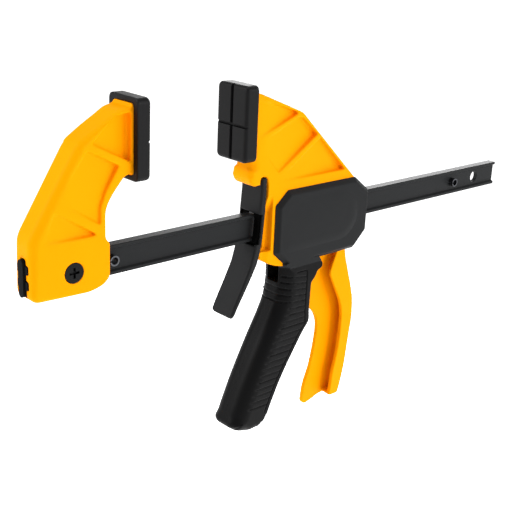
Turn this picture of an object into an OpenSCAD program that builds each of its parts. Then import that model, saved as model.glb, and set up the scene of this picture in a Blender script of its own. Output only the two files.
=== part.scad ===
// One-handed quick release bar clamp.
// Frame: origin at the centre of the hang hole in the bar's tail, +X along the bar to its tail,
// +Z up towards the jaws, -Y towards the near side. Millimetres.

/* [Bar] */
// Height of the flat bar
bar_h = 16; // [14:0.5:18]
// Thickness of the flat bar
bar_t = 6; // [5:0.25:6.5]
// Hang hole to fixed jaw screw
bar_span = 332; // [320:1:450]
// Bar beyond the hang hole
bar_tail = 22; // [16:1:40]
// Bar beyond the fixed jaw screw
bar_nose = 20; // [14:0.5:20.5]
// Chamfer on the bar's long edges
bar_edge = 0.3; // [0.2:0.1:1]
// Depth of the long channel in each side of the bar
channel_d = 1.5; // [1:0.1:1.8]
// Flat rim of the bar above and below each channel
channel_rim = 1.7; // [1.3:0.1:2.2]
// Height of the channels' sloping walls
channel_slope = 0.8; // [0.4:0.1:1.2]
// Hang hole and jaw screw hole diameter
bar_hole_d = 7.8; // [7.5:0.1:9]
// Each end hole to its stop pin
pin_pitch = 26; // [25.5:0.5:30]
// Stop pin outside diameter
pin_d = 5.6; // [4:0.1:6]
// Stop pin wall
pin_wall = 0.8; // [0.6:0.1:1.2]
// Stop pin length standing out beyond each side of the bar
pin_stand = 2; // [1.5:0.25:3.5]

/* [Pads] */
// Width of both pads
pad_w = 25; // [23:0.5:27]
// Height of both pads
pad_h = 42; // [40:0.5:46]
// Thickness of both pads
pad_t = 8.3; // [7:0.1:10]
// Pad bottom above the bar's axis
pad_z = 41; // [40:0.5:44]
// Corner radius of the pads
pad_corner_r = 3; // [2:0.25:4]
// Depth of the socket in the back of the pads
pad_socket = 3; // [2:0.25:4]
// Wall of the pad above and below that socket
pad_rim = 3; // [2.5:0.1:3.5]
// Width of the grooves in the pads' faces
pad_groove_w = 2.4; // [1:0.1:3]
// Depth of those grooves
pad_groove_d = 1.5; // [0.6:0.1:2]
// Cross groove above the pad's bottom
pad_split = 20; // [16:0.5:26]
// Pad socket clearance round the jaw
pad_fit = 0.1; // [0.05:0.05:0.2]

/* [Fixed jaw] */
// Width of both jaws
jaw_w = 17; // [16:0.5:17]
// Fixed pad's face to the jaw screw
fixed_reach = 42.8; // [40:0.1:60]
// Jaw base behind its screw
base_back = 23.2; // [23.2:0.2:28]
// Rounding of the jaw's back edges
back_r = 4.6; // [3:0.2:5.6]
// Jaw base in front of its screw
base_front = 21; // [20:0.25:21.5]
// Jaw base below the bar
base_under = 4; // [3:0.25:6]
// Solid part of the jaw above the bar
base_over = 9.5; // [8:0.5:12]
// Depth of the side pockets at their deep end
pocket_depth = 4.5; // [2:0.25:4.75]
// Flange left round the pockets
flange_w = 3; // [2:0.25:4]
// Width of the ribs between the pockets
rib_w = 2.6; // [1.6:0.1:4]
// Jaw screw head diameter
screw_head_d = 10.4; // [9:0.2:13]
// Jaw screw head height
screw_head_h = 2.6; // [2:0.1:3.2]
// Cross recess width
recess_w = 5.6; // [4:0.1:6.5]
// Cross recess blade thickness
recess_t = 1.3; // [0.8:0.1:1.6]
// Jaw nut across its flats
nut_af = 10; // [9.6:0.1:11]
// Jaw nut height
nut_h = 3.2; // [2.6:0.1:3.6]
// Thread of the jaw screw
thread_d = 6; // [5:0.1:6.2]
// End cap standing out of the jaw
cap_proud = 1.5; // [1:0.25:3]
// End cap width
cap_w = 4.6; // [4:0.2:6]
// End cap above and below the bar
cap_over = 1.7; // [0.5:0.1:2]
// End cap width over its side lugs
cap_lug_w = 9.2; // [8:0.2:12]

/* [Moving head] */
// Gap between the pads at rest
pad_gap = 62.2; // [40:0.1:90]
// Trigger pin behind the moving pad's face
pivot_back = 77; // [76:0.5:78]
// Trigger pin below the bar's underside
pivot_drop = 7; // [6.8:0.1:7.5]
// Moving head's belly below the bar's underside
belly_drop = 18.3; // [18:0.1:19]
// Trigger pin diameter
trigger_pin_d = 4; // [3.5:0.1:4.4]
// Trigger hub radius
hub_r = 6; // [5:0.1:6.2]
// Width of the head's front column behind the lever
column_w = 9; // [8.6:0.1:11]
// Back of that column behind the moving pad's face
column_back = 26.1; // [24.5:0.1:26.5]
// Thickness of the side panels
panel_t = 3; // [2.5:0.25:4]
// End of the grip below the bar's axis
grip_drop = 127; // [117:1:140]
// Half width of the grip
grip_half = 12; // [11.5:0.25:14]
// Wall of the handle shells
shell_wall = 2.5; // [2:0.25:2.6]
// Rounding of the grip's sides
grip_round = 4.5; // [3:0.25:5]
// Width of the window in the front of the neck
window_w = 9.2; // [7:0.2:11]
// Slot in the rear of the grip
grip_slot = 4.4; // [4.4:0.2:6.4]
// Shell screw shank diameter
shell_screw_d = 3; // [2.5:0.1:3.2]
// Shell screw head diameter
shell_head_d = 6; // [5:0.1:6.2]
// Shell screw head height
shell_head_h = 1.8; // [1.2:0.1:2]
// Outside diameter of the screw bosses
boss_d = 6.2; // [5.6:0.1:6.4]

/* [Mechanism] */
// Thickness of each drive plate
plate_t = 3; // [2:0.25:3.25]
// Width of the drive plates
plate_w = 15; // [12:0.5:16]
// Drive plates above and below the bar
plate_rim = 3.4; // [2.8:0.1:3.5]
// Wire of the drive spring
drive_wire = 1; // [0.8:0.05:1.1]
// Inside of the drive spring round the bar's corners, on the diameter
drive_clear = 1; // [0.8:0.1:1.2]
// Turns of the drive spring
drive_turns = 6; // [4:1:7]
// Thickness of the brake plate
brake_t = 1.8; // [1.4:0.1:1.9]
// Width of the brake plate
brake_w = 14.6; // [12:0.2:15]
// Wire of the brake spring
brake_wire = 0.7; // [0.5:0.05:0.9]
// Outside diameter of the brake spring
brake_od = 5; // [4:0.1:5.2]
// Turns of the brake spring
brake_turns = 7; // [4:1:8]
// Width of the release lever
lever_w = 18; // [17.6:0.2:20]
// Wall of the release lever
lever_wall = 1.1; // [0.8:0.05:1.15]
// Thickness of the trigger's web
web_t = 2.6; // [2.2:0.2:3.4]
// End of the trigger below the bar's axis
trigger_drop = 129.4; // [122:0.2:140]
// Half width of the trigger between the shells
trigger_in = 8.2; // [7.6:0.1:8.2]
// Half width of the trigger at the fingers
trigger_out = 9.3; // [8.6:0.1:10]
// Wall of the trigger
trigger_wall = 1.8; // [1.4:0.1:2.4]

/* [Clearances] */
// Bar in its moulded slots, each side
slot_fit = 0.25; // [0.15:0.05:0.4]
// Bar in the steel plates, each side
plate_fit = 0.3; // [0.25:0.05:0.4]
// Running clearance of pins, on the radius
pin_fit = 0.05; // [0.02:0.01:0.1]
// Gap between the trigger's fork and the drive plate
push_gap = 0.05; // [0.02:0.01:0.1]
// Side clearance between a fork leg and the bar
fork_fit = 0.6; // [0.4:0.1:1]
// Gap left between touching mouldings
seam = 0.1; // [0.05:0.05:0.2]

/* [Hidden] */
$fn = 64;
eps = 0.01;

yellow = "#ffb800";
black = "#333333";
steel = "#55565a";
bright = "#b8b8b8";

// Stations along the bar
jaw_hole_x = -bar_span;
bar_len = bar_tail + bar_span + bar_nose;
fixed_face_x = jaw_hole_x + fixed_reach;
head_x = fixed_face_x + pad_gap;
pivot_x = head_x + pivot_back;
pivot_z = -bar_h / 2 - pivot_drop;

jaw_half = jaw_w / 2;
panel_half = jaw_half + panel_t;
pad_back = pad_t;
socket_w = jaw_w;
socket_h = pad_h - 2 * pad_rim;
base_z0 = -bar_h / 2 - base_under;
base_z1 = bar_h / 2 + base_over;
// Foot and top of the fixed jaw's leaning back
lean_foot = [-base_back, base_z1 + 2];
lean_top = [2.8, 61];
// Heights of the end cap's side lugs
lug_z = [-3.2, 4.7];
lug_h = 4;

cap_h = bar_h + 2 * cap_over;

// Mechanism cavity in the moving jaw, in the head's own frame
plate_h = bar_h + 2 * plate_rim;
cavity_front = pivot_back - 15;
cavity_rear = pivot_back + 24;
cavity_top = plate_h / 2 + 1.2;
cavity_sill = pivot_back + 16;
body_z0 = -bar_h / 2 - belly_drop;
plate1_u = pivot_back + push_gap;
plate2_u = plate1_u + plate_t + seam;
spring_u0 = plate2_u + plate_t + seam;
drive_id = 2 * norm([bar_h / 2, bar_t / 2 - bar_edge]) + drive_clear;
drive_od = drive_id + 2 * drive_wire;
spring_room = 0.4;
fork_in = bar_t / 2 + fork_fit;
fork_out = 6.6;
fork_r = 18.5;
trigger_sweep = 28;

// The grip's middle line runs down and forward from the neck to the foot
neck_mid = [47, -45];
grip_lean = 0.412;
foot_x = neck_mid[0] - grip_lean * (grip_drop + neck_mid[1]);

// The brake plate leans forward by this angle and stands upright when the lever is pulled
brake_lean = 4;
notch_u = 18.4;
notch_z = 30.7;
notch_w = 5;
plate_back_u = notch_u + 1.9;

// Draws a side outline, given in X and Z, between two values of Y
module side(y0, y1) {
    translate([0, y1, 0]) rotate([90, 0, 0]) linear_extrude(y1 - y0) children();
}

// Moves its children to the moving head's frame, whose X is 0 at the moving pad's face
module at_head() { translate([head_x, 0, 0]) children(); }

// A hole or a pin along Y
module y_rod(d, y0, y1) {
    translate([0, y1, 0]) rotate([90, 0, 0]) cylinder(d = d, h = y1 - y0);
}

module both_sides() {
    children();
    mirror([0, 1, 0]) children();
}

module rounded(r) { offset(r = r) offset(delta = -r) children(); }

module eased(r) { rounded(r) offset(r = -r) offset(delta = r) children(); }

// ---- Bar and stop pins ----

module bar_section(grow = 0) {
    h = bar_h / 2 + grow;
    t = bar_t / 2 + grow;
    e = bar_edge;
    polygon([[-t + e, -h], [t - e, -h], [t, -h + e], [t, h - e], [t - e, h], [-t + e, h],
        [-t, h - e], [-t, -h + e]]);
}

module along_bar(x0, x1) {
    translate([x0, 0, 0]) rotate([90, 0, 90]) linear_extrude(x1 - x0) children();
}

// The channel in the near side of the bar
module channel_section() {
    rim = bar_h / 2 - channel_rim;
    floor_h = rim - channel_slope;
    floor_y = -bar_t / 2 + channel_d;
    polygon([[-bar_t, -rim], [-bar_t / 2, -rim], [floor_y, -floor_h], [floor_y, floor_h],
        [-bar_t / 2, rim], [-bar_t, rim]]);
}

module bar() {
    color(steel) difference() {
        along_bar(-bar_span - bar_nose, bar_tail) bar_section();
        both_sides() along_bar(-bar_span - bar_nose - 1, bar_tail + 1) channel_section();
        for (x = [0, jaw_hole_x]) translate([x, 0, 0]) y_rod(bar_hole_d, -bar_t, bar_t);
        for (x = [-pin_pitch, jaw_hole_x + pin_pitch])
            translate([x, 0, 0]) y_rod(pin_d, -bar_t, bar_t);
    }
}

module stop_pin(x) {
    half = bar_t / 2 + pin_stand;
    color(bright) translate([x, 0, 0]) difference() {
        y_rod(pin_d, -half, half);
        y_rod(pin_d - 2 * pin_wall, -half - 1, half + 1);
        translate([-pin_d, -half - 1, -pin_wall / 2]) cube([pin_d, 2 * half + 2, pin_wall]);
    }
}

module head_stop_pin() stop_pin(jaw_hole_x + pin_pitch);

module tail_stop_pin() stop_pin(-pin_pitch);

// ---- Jaws and pads ----

// A side pocket whose floor slopes from nothing at X = fade to its full depth at X = deep
module pocket(fade, deep) {
    both_sides() intersection() {
        side(-jaw_half - 1, 0) rounded(1) children();
        translate([0, 0, -pad_h]) linear_extrude(4 * pad_h)
            polygon([[fade, -jaw_half - 1], [deep, -jaw_half - 1], [deep, -jaw_half + pocket_depth],
                [fade, -jaw_half]]);
    }
}

// The tongue that holds a pad, from X = 0 outwards by the socket's depth
module pad_tongue() {
    mirror([1, 0, 0]) translate([0, 0, pad_z + pad_h / 2]) rotate([90, 0, 90])
        linear_extrude(pad_socket - pad_fit)
            rounded(1.5) square([socket_w - 2 * pad_fit, socket_h - 2 * pad_fit], center = true);
}

// A pad with its face in the plane X = 0 and its body towards +X
module pad() {
    color(black) translate([0, 0, pad_z]) difference() {
        rotate([90, 0, 90]) linear_extrude(pad_t) translate([-pad_w / 2, 0])
            rounded(pad_corner_r) square([pad_w, pad_h]);
        translate([pad_t - pad_socket, 0, pad_h / 2]) rotate([90, 0, 90])
            linear_extrude(pad_socket + 1) rounded(1.5) square([socket_w, socket_h], center = true);
        linear_extrude(pad_h) polygon([[-eps, -pad_groove_w / 2], [-eps, pad_groove_w / 2],
            [pad_groove_d, 0]]);
        side(-pad_w, pad_w) polygon([[-eps, pad_split - pad_groove_w / 2],
            [-eps, pad_split + pad_groove_w / 2], [pad_groove_d, pad_split]]);
    }
}

module fixed_jaw_pad() translate([fixed_face_x, 0, 0]) mirror([1, 0, 0]) pad();

module moving_jaw_pad() at_head() pad();

// Fixed jaw outline, X from the screw, Z from the bar's axis
module fixed_outline() {
    plate_x = fixed_reach - pad_t;
    tip_z = pad_z + pad_h - 4.6;
    eased(1.2) polygon([[-base_back, base_z0 + 3.5], [-base_back + 4.5, base_z0], [10, base_z0],
        [base_front - 4, base_z0 + 2], [base_front, base_z0 + 5.5],
        [base_front, bar_h / 2 + 3.4], [18.6, bar_h / 2 + 6.2], [18.6, 29.3], [22.4, 35.8],
        [plate_x - 5, 44], [plate_x, 46], [plate_x, tip_z], [28, tip_z - 0.9],
        [18.5, 71.8], [5.6, 64.2], lean_top, lean_foot]);
}

// What rounding takes off both edges of the face that rises from a foot, given in X and Z
module edge_cut(foot, lean) {
    both_sides() translate([foot[0], -jaw_half, foot[1]]) rotate([0, lean, 0]) difference() {
        translate([-back_r, -back_r, -pad_h]) cube([2 * back_r, 2 * back_r, 3 * pad_h]);
        translate([back_r, back_r, -pad_h - 1]) cylinder(r = back_r, h = 3 * pad_h + 2);
    }
}

module fixed_pockets() {
    up = rib_w / 2;
    inner = 18.6 - flange_w;
    pocket(2, 34) polygon([[11, 61.5 + up], [33.6, 49.8 + up], [33.6, 75.5], [24.5, 74.5]]);
    pocket(-4, 26) polygon([[8, 61 - up], [26.5, 51.5 - up], [inner + 3, 38], [inner, 30.6],
        [inner, 20.5 + up], [-9.5, 36.5 + up]]);
    pocket(-18, 16) polygon([[-10.5, 33.5 - up], [13.5, 18.6 - up], [12.5, base_z1 - 0.3],
        [-17, base_z1]]);
}

module fixed_jaw() {
    color(yellow) translate([jaw_hole_x, 0, 0]) difference() {
        union() {
            side(-jaw_half, jaw_half) fixed_outline();
            translate([fixed_reach - pad_t, 0, 0]) mirror([1, 0, 0]) pad_tongue();
        }
        along_bar(-bar_nose - seam, base_front + 1) bar_section(slot_fit);
        cap_plug(-base_back - 1, seam);
        edge_cut(lean_foot, 0);
        edge_cut(lean_foot, atan2(lean_top[0] - lean_foot[0], lean_top[1] - lean_foot[1]));
        fixed_pockets();
        y_rod(bar_hole_d, -jaw_half - 1, jaw_half + 1);
        y_rod(screw_head_d + 2 * seam, -jaw_half - 1, -jaw_half + screw_head_h + seam);
        translate([0, jaw_half + 1, 0]) rotate([90, 0, 0])
            cylinder(d = (nut_af + 2 * seam) / cos(30), h = nut_h + 1 + seam, $fn = 6);
    }
}

// The end cap's strip, grown all round
module cap_strip(grow = 0) {
    offset(delta = grow) rounded(cap_w / 2 - eps) square([cap_w, cap_h], center = true);
}

// The end cap's plug with its side lugs, or grown by a seam its seat in the jaw
module cap_plug(x0, grow = 0) {
    along_bar(x0, -bar_nose - 2 * seam + grow) union() {
        cap_strip(grow);
        for (z = lug_z) translate([0, z])
            square([cap_lug_w + 2 * grow, lug_h + 2 * grow], center = true);
    }
}

module fixed_jaw_end_cap() {
    color(black) translate([jaw_hole_x, 0, 0]) {
        cap_plug(-base_back - cap_proud / 3);
        along_bar(-base_back - cap_proud, -base_back) cap_strip();
    }
}

module fixed_jaw_screw() {
    color(steel) translate([jaw_hole_x, 0, 0]) difference() {
        union() {
            y_rod(screw_head_d, -jaw_half, -jaw_half + screw_head_h);
            y_rod(bar_hole_d - 4 * pin_fit, -jaw_half, jaw_half - nut_h - 0.5);
            y_rod(thread_d, 0, jaw_half);
        }
        for (turn = [0, 90]) rotate([0, turn, 0])
            translate([-recess_w / 2, -jaw_half - 1, -recess_t / 2])
                cube([recess_w, screw_head_h, recess_t]);
    }
}

module fixed_jaw_nut() {
    color(steel) translate([jaw_hole_x, jaw_half, 0]) rotate([90, 0, 0]) difference() {
        cylinder(d = nut_af / cos(30), h = nut_h, $fn = 6);
        translate([0, 0, -1]) cylinder(d = thread_d + 2 * pin_fit, h = nut_h + 2);
    }
}

// ---- Moving jaw and shells ----

// Octagon of the side panels
module panel_outline(inset = 0) {
    offset(delta = -inset) polygon([[37.1, 20.7], [93.6, 20.7], [106.4, 10.9], [106.4, -15.3],
        [95.7, body_z0 + 0.6], [38.4, body_z0], [27.6, -16.7], [27.6, 12.3]]);
}

// The moving jaw's outline over the panels and in front of them
module moving_outline() {
    tip_z = pad_z + pad_h - 4.6;
    eased(1) polygon([[pad_back, 42.5], [pad_back + 1, 36], [10, 31], [10.8, 27],
        [13, 25.5], [notch_u - notch_w / 2, 26.4], [notch_u - notch_w / 2, notch_z],
        [notch_u + notch_w / 2, notch_z], [notch_u + notch_w / 2 + 1.3, 26],
        [22.6, -12.9], [18.2, -14.2], [18.2, -17.6], [23, -21.4], [31.4, -24.8], [38.4, body_z0],
        [cavity_front, body_z0], [cavity_front, -20],
        [95, -24], [104.5, -14.4], [104.5, 10], [92.5, 21.4], [47.3, 64.2], [44, 65.7],
        [14, 77.7], [pad_back, tip_z]]);
}

module moving_pockets() {
    up = rib_w / 2;
    pocket(10, 48) polygon([[11, 75.3], [40.2, 65.6], [40.5, 63.2 + up], [11, 51.6 + up]]);
    pocket(14, 60) polygon([[46, 61.5], [57.2, 51 + up], [27.5, 31.9 + up], [12, 51 - up],
        [42, 62.8 - up]]);
    pocket(26, 86) polygon([[59.8, 49.6], [82.6, 27.2], [29, 27.2], [29, 31 - up]]);
}

// What leaves a narrow column behind the lever, its top sloping up towards the middle
module column_cut() {
    depth = jaw_half - column_w / 2;
    translate([15, -jaw_half, 0]) rotate([90, 0, 90]) linear_extrude(column_back - 15)
        polygon([[-1, -14.2], [depth, -14.2], [depth, 14.8], [0, 12.8], [-1, 12.8]]);
}

// Screw places in the head's frame: four through the panels, two in the grip
panel_screws = [[44, 15], [86, 16.4], [44, -18], [97.6, -16.6]];
grip_screws = [[41.2, -44.2], foot(5.4, 7)];

module moving_jaw() {
    color(yellow) at_head() difference() {
        union() {
            side(-jaw_half, jaw_half) moving_outline();
            translate([pad_back, 0, 0]) pad_tongue();
        }
        along_bar(0, 120) bar_section(slot_fit);
        side(-jaw_w, jaw_w) polygon([[cavity_front, cavity_top], [cavity_rear, cavity_top],
            [cavity_rear, -12], [cavity_sill, -12], [cavity_sill, -40], [cavity_front, -40]]);
        both_sides() column_cut();
        both_sides() translate([15, -jaw_half - 1, -30]) cube([6.2, 1 + 1.2, 18]);
        translate([27, 0, -12.2]) rotate([0, -90, 0]) cylinder(d = brake_od + 0.6, h = 12);
        moving_pockets();
        for (p = panel_screws) translate([p[0], 0, p[1]])
            y_rod(boss_d + 2 * seam, -jaw_half - 1, jaw_half + 1);
    }
}

// A point behind the grip's middle line and above its end
function foot(back, up) = [foot_x + back, up - grip_drop];

// Side outline of the neck and grip
module handle_outline(top = 0) {
    polygon([[36.4, body_z0 + top], [63.9, body_z0 + top], [67.5, -29.4], [63, -33], [61.6, -36.2],
        [58.4, -40], [58.2, -57], [58.9, -64.8], [53.6, -70.8], [40.6, -91], [34.7, -101.6],
        foot(15.7, 12), foot(12.8, 5), foot(8.8, 1.4), foot(2.8, 0), foot(-6.2, 1.4),
        foot(-12.8, 5.2), foot(-9.3, 14.8), [10.6, -96.4], [17.4, -82.5], [24.2, -69.4],
        [31.1, -57.2], [35, -48.6], [36.6, -40]]);
}

// The grip's solid half, its side rounded over in terraces that follow a quarter circle
module handle_bulk() {
    steps = 5;
    for (k = [0:steps]) let (a = 90 * k / steps)
        side(-grip_half + grip_round * (1 - sin(a)), 0)
            offset(delta = -grip_round * (1 - cos(a))) handle_outline();
}

module handle_hollow() {
    side(-grip_half + shell_wall, 1) difference() {
        offset(delta = -shell_wall - grip_round / 3) handle_outline(4 * shell_wall);
        translate(foot(0, 9 - 2 * boss_d)) square([8 * boss_d, 4 * boss_d], center = true);
    }
}

// Slot behind the grip that takes the trigger's web
module slot_outline() {
    polygon([[45, body_z0 + 1], [80, body_z0 + 1], [80, -50], foot(14.8, 8.5), foot(6.8, 11),
        [44, -60]]);
}

// The near half of the handle; the far half is its mirror image with through holes
module shell_half(through) {
    shaft = shell_screw_d + 2 * pin_fit;
    screws = concat(panel_screws, grip_screws);
    difference() {
        union() {
            hull() {
                side(-panel_half, -jaw_half) panel_outline(panel_t);
                side(-jaw_half - eps, -jaw_half) panel_outline();
            }
            difference() {
                handle_bulk();
                handle_hollow();
                side(-grip_slot / 2, 1) slot_outline();
                translate([30, -window_w / 2, -36]) cube([10, window_w, 9.2]);
            }
            side(-panel_half, -jaw_half - eps) polygon([[38.4, -40], [58, -40], [60, -20], [40, -20]]);
            for (p = panel_screws) translate([p[0], 0, p[1]])
                y_rod(boss_d, -jaw_half - eps, -seam / 2);
            for (p = grip_screws) translate([p[0], 0, p[1]])
                y_rod(boss_d, -grip_half + 1, -seam / 2);
        }
        for (p = screws) translate([p[0], 0, p[1]])
            y_rod(shaft, through ? -grip_half - 1 : -jaw_half + 1, 1);
        if (through) for (p = panel_screws) translate([p[0], 0, p[1]])
            y_rod(shell_head_d + 2 * seam, -grip_half - 1, -panel_half + shell_head_h);
        if (through) for (p = grip_screws) translate([p[0], 0, p[1]])
            y_rod(shell_head_d + 2 * seam, -grip_half - 1, -panel_half + shell_head_h);
        translate([pivot_back, 0, pivot_z])
            y_rod(trigger_pin_d + 2 * pin_fit, -jaw_half - panel_t / 2, 1);
        translate([spring_u0 - seam, -drive_od / 2 - spring_room, -drive_od / 2 - spring_room])
            cube([cavity_rear - spring_u0 + 4 * seam, drive_od, drive_od + 2 * spring_room]);
    }
}

module near_shell() color(black) at_head() shell_half(false);

module far_shell() color(black) at_head() mirror([0, 1, 0]) shell_half(true);

module shell_screws() {
    color(steel) at_head() for (p = concat(panel_screws, grip_screws))
        translate([p[0], 0, p[1]]) {
            y_rod(shell_screw_d, -jaw_half + 1.5, panel_half - shell_head_h + 3 * seam);
            y_rod(shell_head_d, panel_half - shell_head_h + seam, panel_half - seam);
        }
}

module trigger_pin() {
    half = jaw_half + panel_t / 2 - seam;
    color(bright) at_head() translate([pivot_back, 0, pivot_z]) y_rod(trigger_pin_d, -half, half);
}

// ---- Trigger and drive ----

// A point above the trigger's end
function toe(back, up) = [back, up - trigger_drop];

// The web and hub, X from the moving pad's face
module web_outline() {
    polygon([[pivot_back - 5.6, pivot_z - 2], [pivot_back - 6.5, -30], [68.5, -38], [65.4, -50],
        [66.4, -59.5], [70, -63], [73.3, -66.4], [76.3, -72.4], [76.9, -78.6], [75.6, -89.8],
        [72.7, -104.2], toe(68.1, 14), toe(66.8, 2.4), toe(69.6, 0), toe(86, 4), [95, -60],
        [89.5, -30], [pivot_back + 5.6, pivot_z - 2]]);
}

// The palm flange with its side lips
module flange_outline() {
    polygon([[84.3, -24], [77.6, -39], [88.6, -60.4], [90.6, -69], [90.4, -83], [88.8, -96.3],
        [85.8, -109], toe(85, 10.4), toe(83.6, 4.8), toe(91.6, 4.6), toe(93.5, 10.6),
        [96.4, -105.7], [98.3, -88], [100.4, -71.5], [99.3, -58], [96.4, -47.5], [91.8, -32.8],
        [90, -24]]);
}

module fork_outline() {
    top = fork_r * sqrt(1 + pow(trigger_sweep * PI / 180, 2));
    translate([pivot_back, pivot_z]) polygon([[-5.6, 0], [0, 0], [0, fork_r], [-0.7, top],
        [-4.6, top], [-5.6, top - 3]]);
}

module trigger() {
    color(yellow) at_head() difference() {
        union() {
            side(-web_t / 2, web_t / 2) web_outline();
            intersection() {
                side(-trigger_out, trigger_out) flange_outline();
                both_sides() along_bar(60, 110)
                    polygon([[-trigger_in, 0], [-trigger_in, -30], [-trigger_out, -62],
                        [-trigger_out, -trigger_drop], [eps, -trigger_drop], [eps, 0]]);
            }
            translate([pivot_back, 0, pivot_z]) y_rod(2 * hub_r, -fork_out, fork_out);
            both_sides() side(-fork_out, -fork_in) fork_outline();
        }
        translate([pivot_back, 0, pivot_z]) y_rod(trigger_pin_d + 2 * pin_fit, -jaw_w, jaw_w);
        translate([pivot_back, -jaw_w, -plate_h / 2 - plate_fit]) cube([2 * hub_r, 2 * jaw_w, plate_h]);
        both_sides() side(-trigger_in + trigger_wall, -web_t / 2) lip_hollow();
    }
}

// The hollow between the web, the side lips and the palm wall
module lip_hollow() {
    polygon([[60, -22.5], toe(60, -10), toe(81, -10), toe(81, 6.9), toe(91.2, 6.9),
        toe(91.2, 11.4), [94, -105.5], [95.8, -88], [97.9, -71.5], [96.8, -58.4], [93.9, -48], [89.3, -33.5],
        [87.5, -22.5]]);
}

module drive_plate(u) {
    color(steel) at_head() difference() {
        translate([u, -plate_w / 2, -plate_h / 2]) cube([plate_t, plate_w, plate_h]);
        along_bar(u - 1, u + plate_t + 1) bar_section(plate_fit);
    }
}

module front_drive_plate() drive_plate(plate1_u);

module rear_drive_plate() drive_plate(plate2_u);

// A coil spring along X as one swept helix
module coil(x0, x1, d, wire, turns, sides = 6, steps = 18) {
    n = turns * steps;
    r = (d - wire) / 2;
    pts = [for (i = [0:n], k = [0:sides - 1])
        let (a = 360 * i / steps, b = 360 * k / sides, q = r + wire / 2 * cos(b))
            [x0 + wire / 2 + (x1 - x0 - wire) * i / n + wire / 2 * sin(b), q * cos(a), q * sin(a)]];
    walls = [for (i = [0:n - 1], k = [0:sides - 1])
        let (a = i * sides + k, b = i * sides + (k + 1) % sides)
            [a, b, b + sides, a + sides]];
    ends = [[for (k = [sides - 1:-1:0]) k], [for (k = [0:sides - 1]) n * sides + k]];
    polyhedron(points = pts, faces = concat(walls, ends));
}

module drive_spring() {
    color(bright) at_head() coil(spring_u0, cavity_rear - seam, drive_od, drive_wire, drive_turns);
}

module brake_spring() {
    color(bright) at_head() translate([0, 0, -12.2])
        coil(18.5, 27 - seam, brake_od, brake_wire, brake_turns, 6, 12);
}

// ---- Release lever and brake plate ----

module lever_outline() {
    eased(0.8) polygon([[16.9, 30], [16.8, 22], [15.9, 10], [14.9, -5], [12.6, -14.6],
        [10.4, -22], [5.5, -31.8], [-0.6, -43.4], [-3.2, -49.2], [-1.6, -50.6],
        [1.9, -44], [8.4, -33], [11.6, -27.4], [15.2, -20.5], [17, -14.5],
        [18.2, -5], [19.4, 10], [20.2, 22], [20.2, 30]]);
}

module release_lever() {
    color(black) at_head() difference() {
        side(-lever_w / 2, lever_w / 2) lever_outline();
        side(-brake_w / 2 - 0.1, brake_w / 2 + 0.1)
            translate([lever_wall, 0]) polygon([[16.9, 40], [16.8, 22], [15.9, 10], [14.9, -5],
                [12.6, -14.6], [11.2, -19], [30, -19], [30, 40]]);
        translate([0, -6.6, -11.4]) cube([40, 13.2, 21.6]);
    }
}

module brake_plate() {
    low = -10.6;
    color(steel) at_head() difference() {
        translate([plate_back_u, 0, notch_z - 1]) rotate([0, brake_lean, 0])
            translate([-brake_t, -brake_w / 2, low - notch_z])
                cube([brake_t, brake_w, notch_z - low]);
        translate([plate_back_u, 0, notch_z - 1]) rotate([0, brake_lean, 0])
            translate([0, 0, 1 - notch_z]) along_bar(-brake_t - 1, 1) bar_section(plate_fit);
    }
}

bar();
head_stop_pin();
tail_stop_pin();
fixed_jaw();
fixed_jaw_screw();
fixed_jaw_nut();
fixed_jaw_pad();
fixed_jaw_end_cap();
moving_jaw();
moving_jaw_pad();
near_shell();
far_shell();
shell_screws();
trigger_pin();
trigger();
front_drive_plate();
rear_drive_plate();
drive_spring();
brake_spring();
release_lever();
brake_plate();
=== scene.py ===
"""Quick release bar clamp: the visible mouldings, pads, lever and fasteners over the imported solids.

Sizes are in millimetres. X is measured along the bar from the hang hole; a sub-assembly's outlines
are in X and Z from its own station on the bar, and the near side of the clamp is at negative Y.
"""

from __future__ import annotations

import logging
import math
from dataclasses import dataclass
from enum import Enum
from typing import Callable, ClassVar, List, Optional, Sequence, Tuple

import bmesh
import bpy
import numpy as np
from mathutils import Matrix, Vector

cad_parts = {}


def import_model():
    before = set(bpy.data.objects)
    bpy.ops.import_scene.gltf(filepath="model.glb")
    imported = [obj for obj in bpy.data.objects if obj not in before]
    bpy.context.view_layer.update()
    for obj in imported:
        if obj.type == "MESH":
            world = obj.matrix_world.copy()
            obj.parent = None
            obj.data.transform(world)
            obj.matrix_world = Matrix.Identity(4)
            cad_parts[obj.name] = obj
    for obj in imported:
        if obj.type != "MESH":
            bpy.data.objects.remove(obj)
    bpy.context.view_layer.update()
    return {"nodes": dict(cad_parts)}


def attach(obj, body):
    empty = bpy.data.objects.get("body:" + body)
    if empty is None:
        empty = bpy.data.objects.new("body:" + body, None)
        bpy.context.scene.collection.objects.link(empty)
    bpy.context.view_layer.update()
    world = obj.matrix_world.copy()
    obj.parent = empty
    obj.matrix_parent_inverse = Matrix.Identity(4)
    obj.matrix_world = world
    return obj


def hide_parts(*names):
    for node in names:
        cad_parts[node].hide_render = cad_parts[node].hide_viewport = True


LOG = logging.getLogger("bar_clamp")

MM_PER_METRE = 1000.0
# A distance that counts as none, so that nothing is divided by nought
TINY = 1e-9
# How near a point lies to a face that it counts as being on
TOUCHING = 0.1
# The least share of a face's direction along an axis that it counts as facing
SQUARE = 0.9
# Where the moving pad's face stands at rest: the moving head's outlines count X from here
HEAD_STATION = -227.0

Point = Tuple[float, float]
Corner = Tuple[float, float, float]
Box = Tuple[Corner, Corner]
Outline = Sequence[Point]
Piece = bpy.types.Object
Weigher = Callable[[Vector, Vector], float]


def metres(millimetres: float) -> float:
    """Turns millimetres into Blender's metres."""
    return millimetres / MM_PER_METRE


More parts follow.
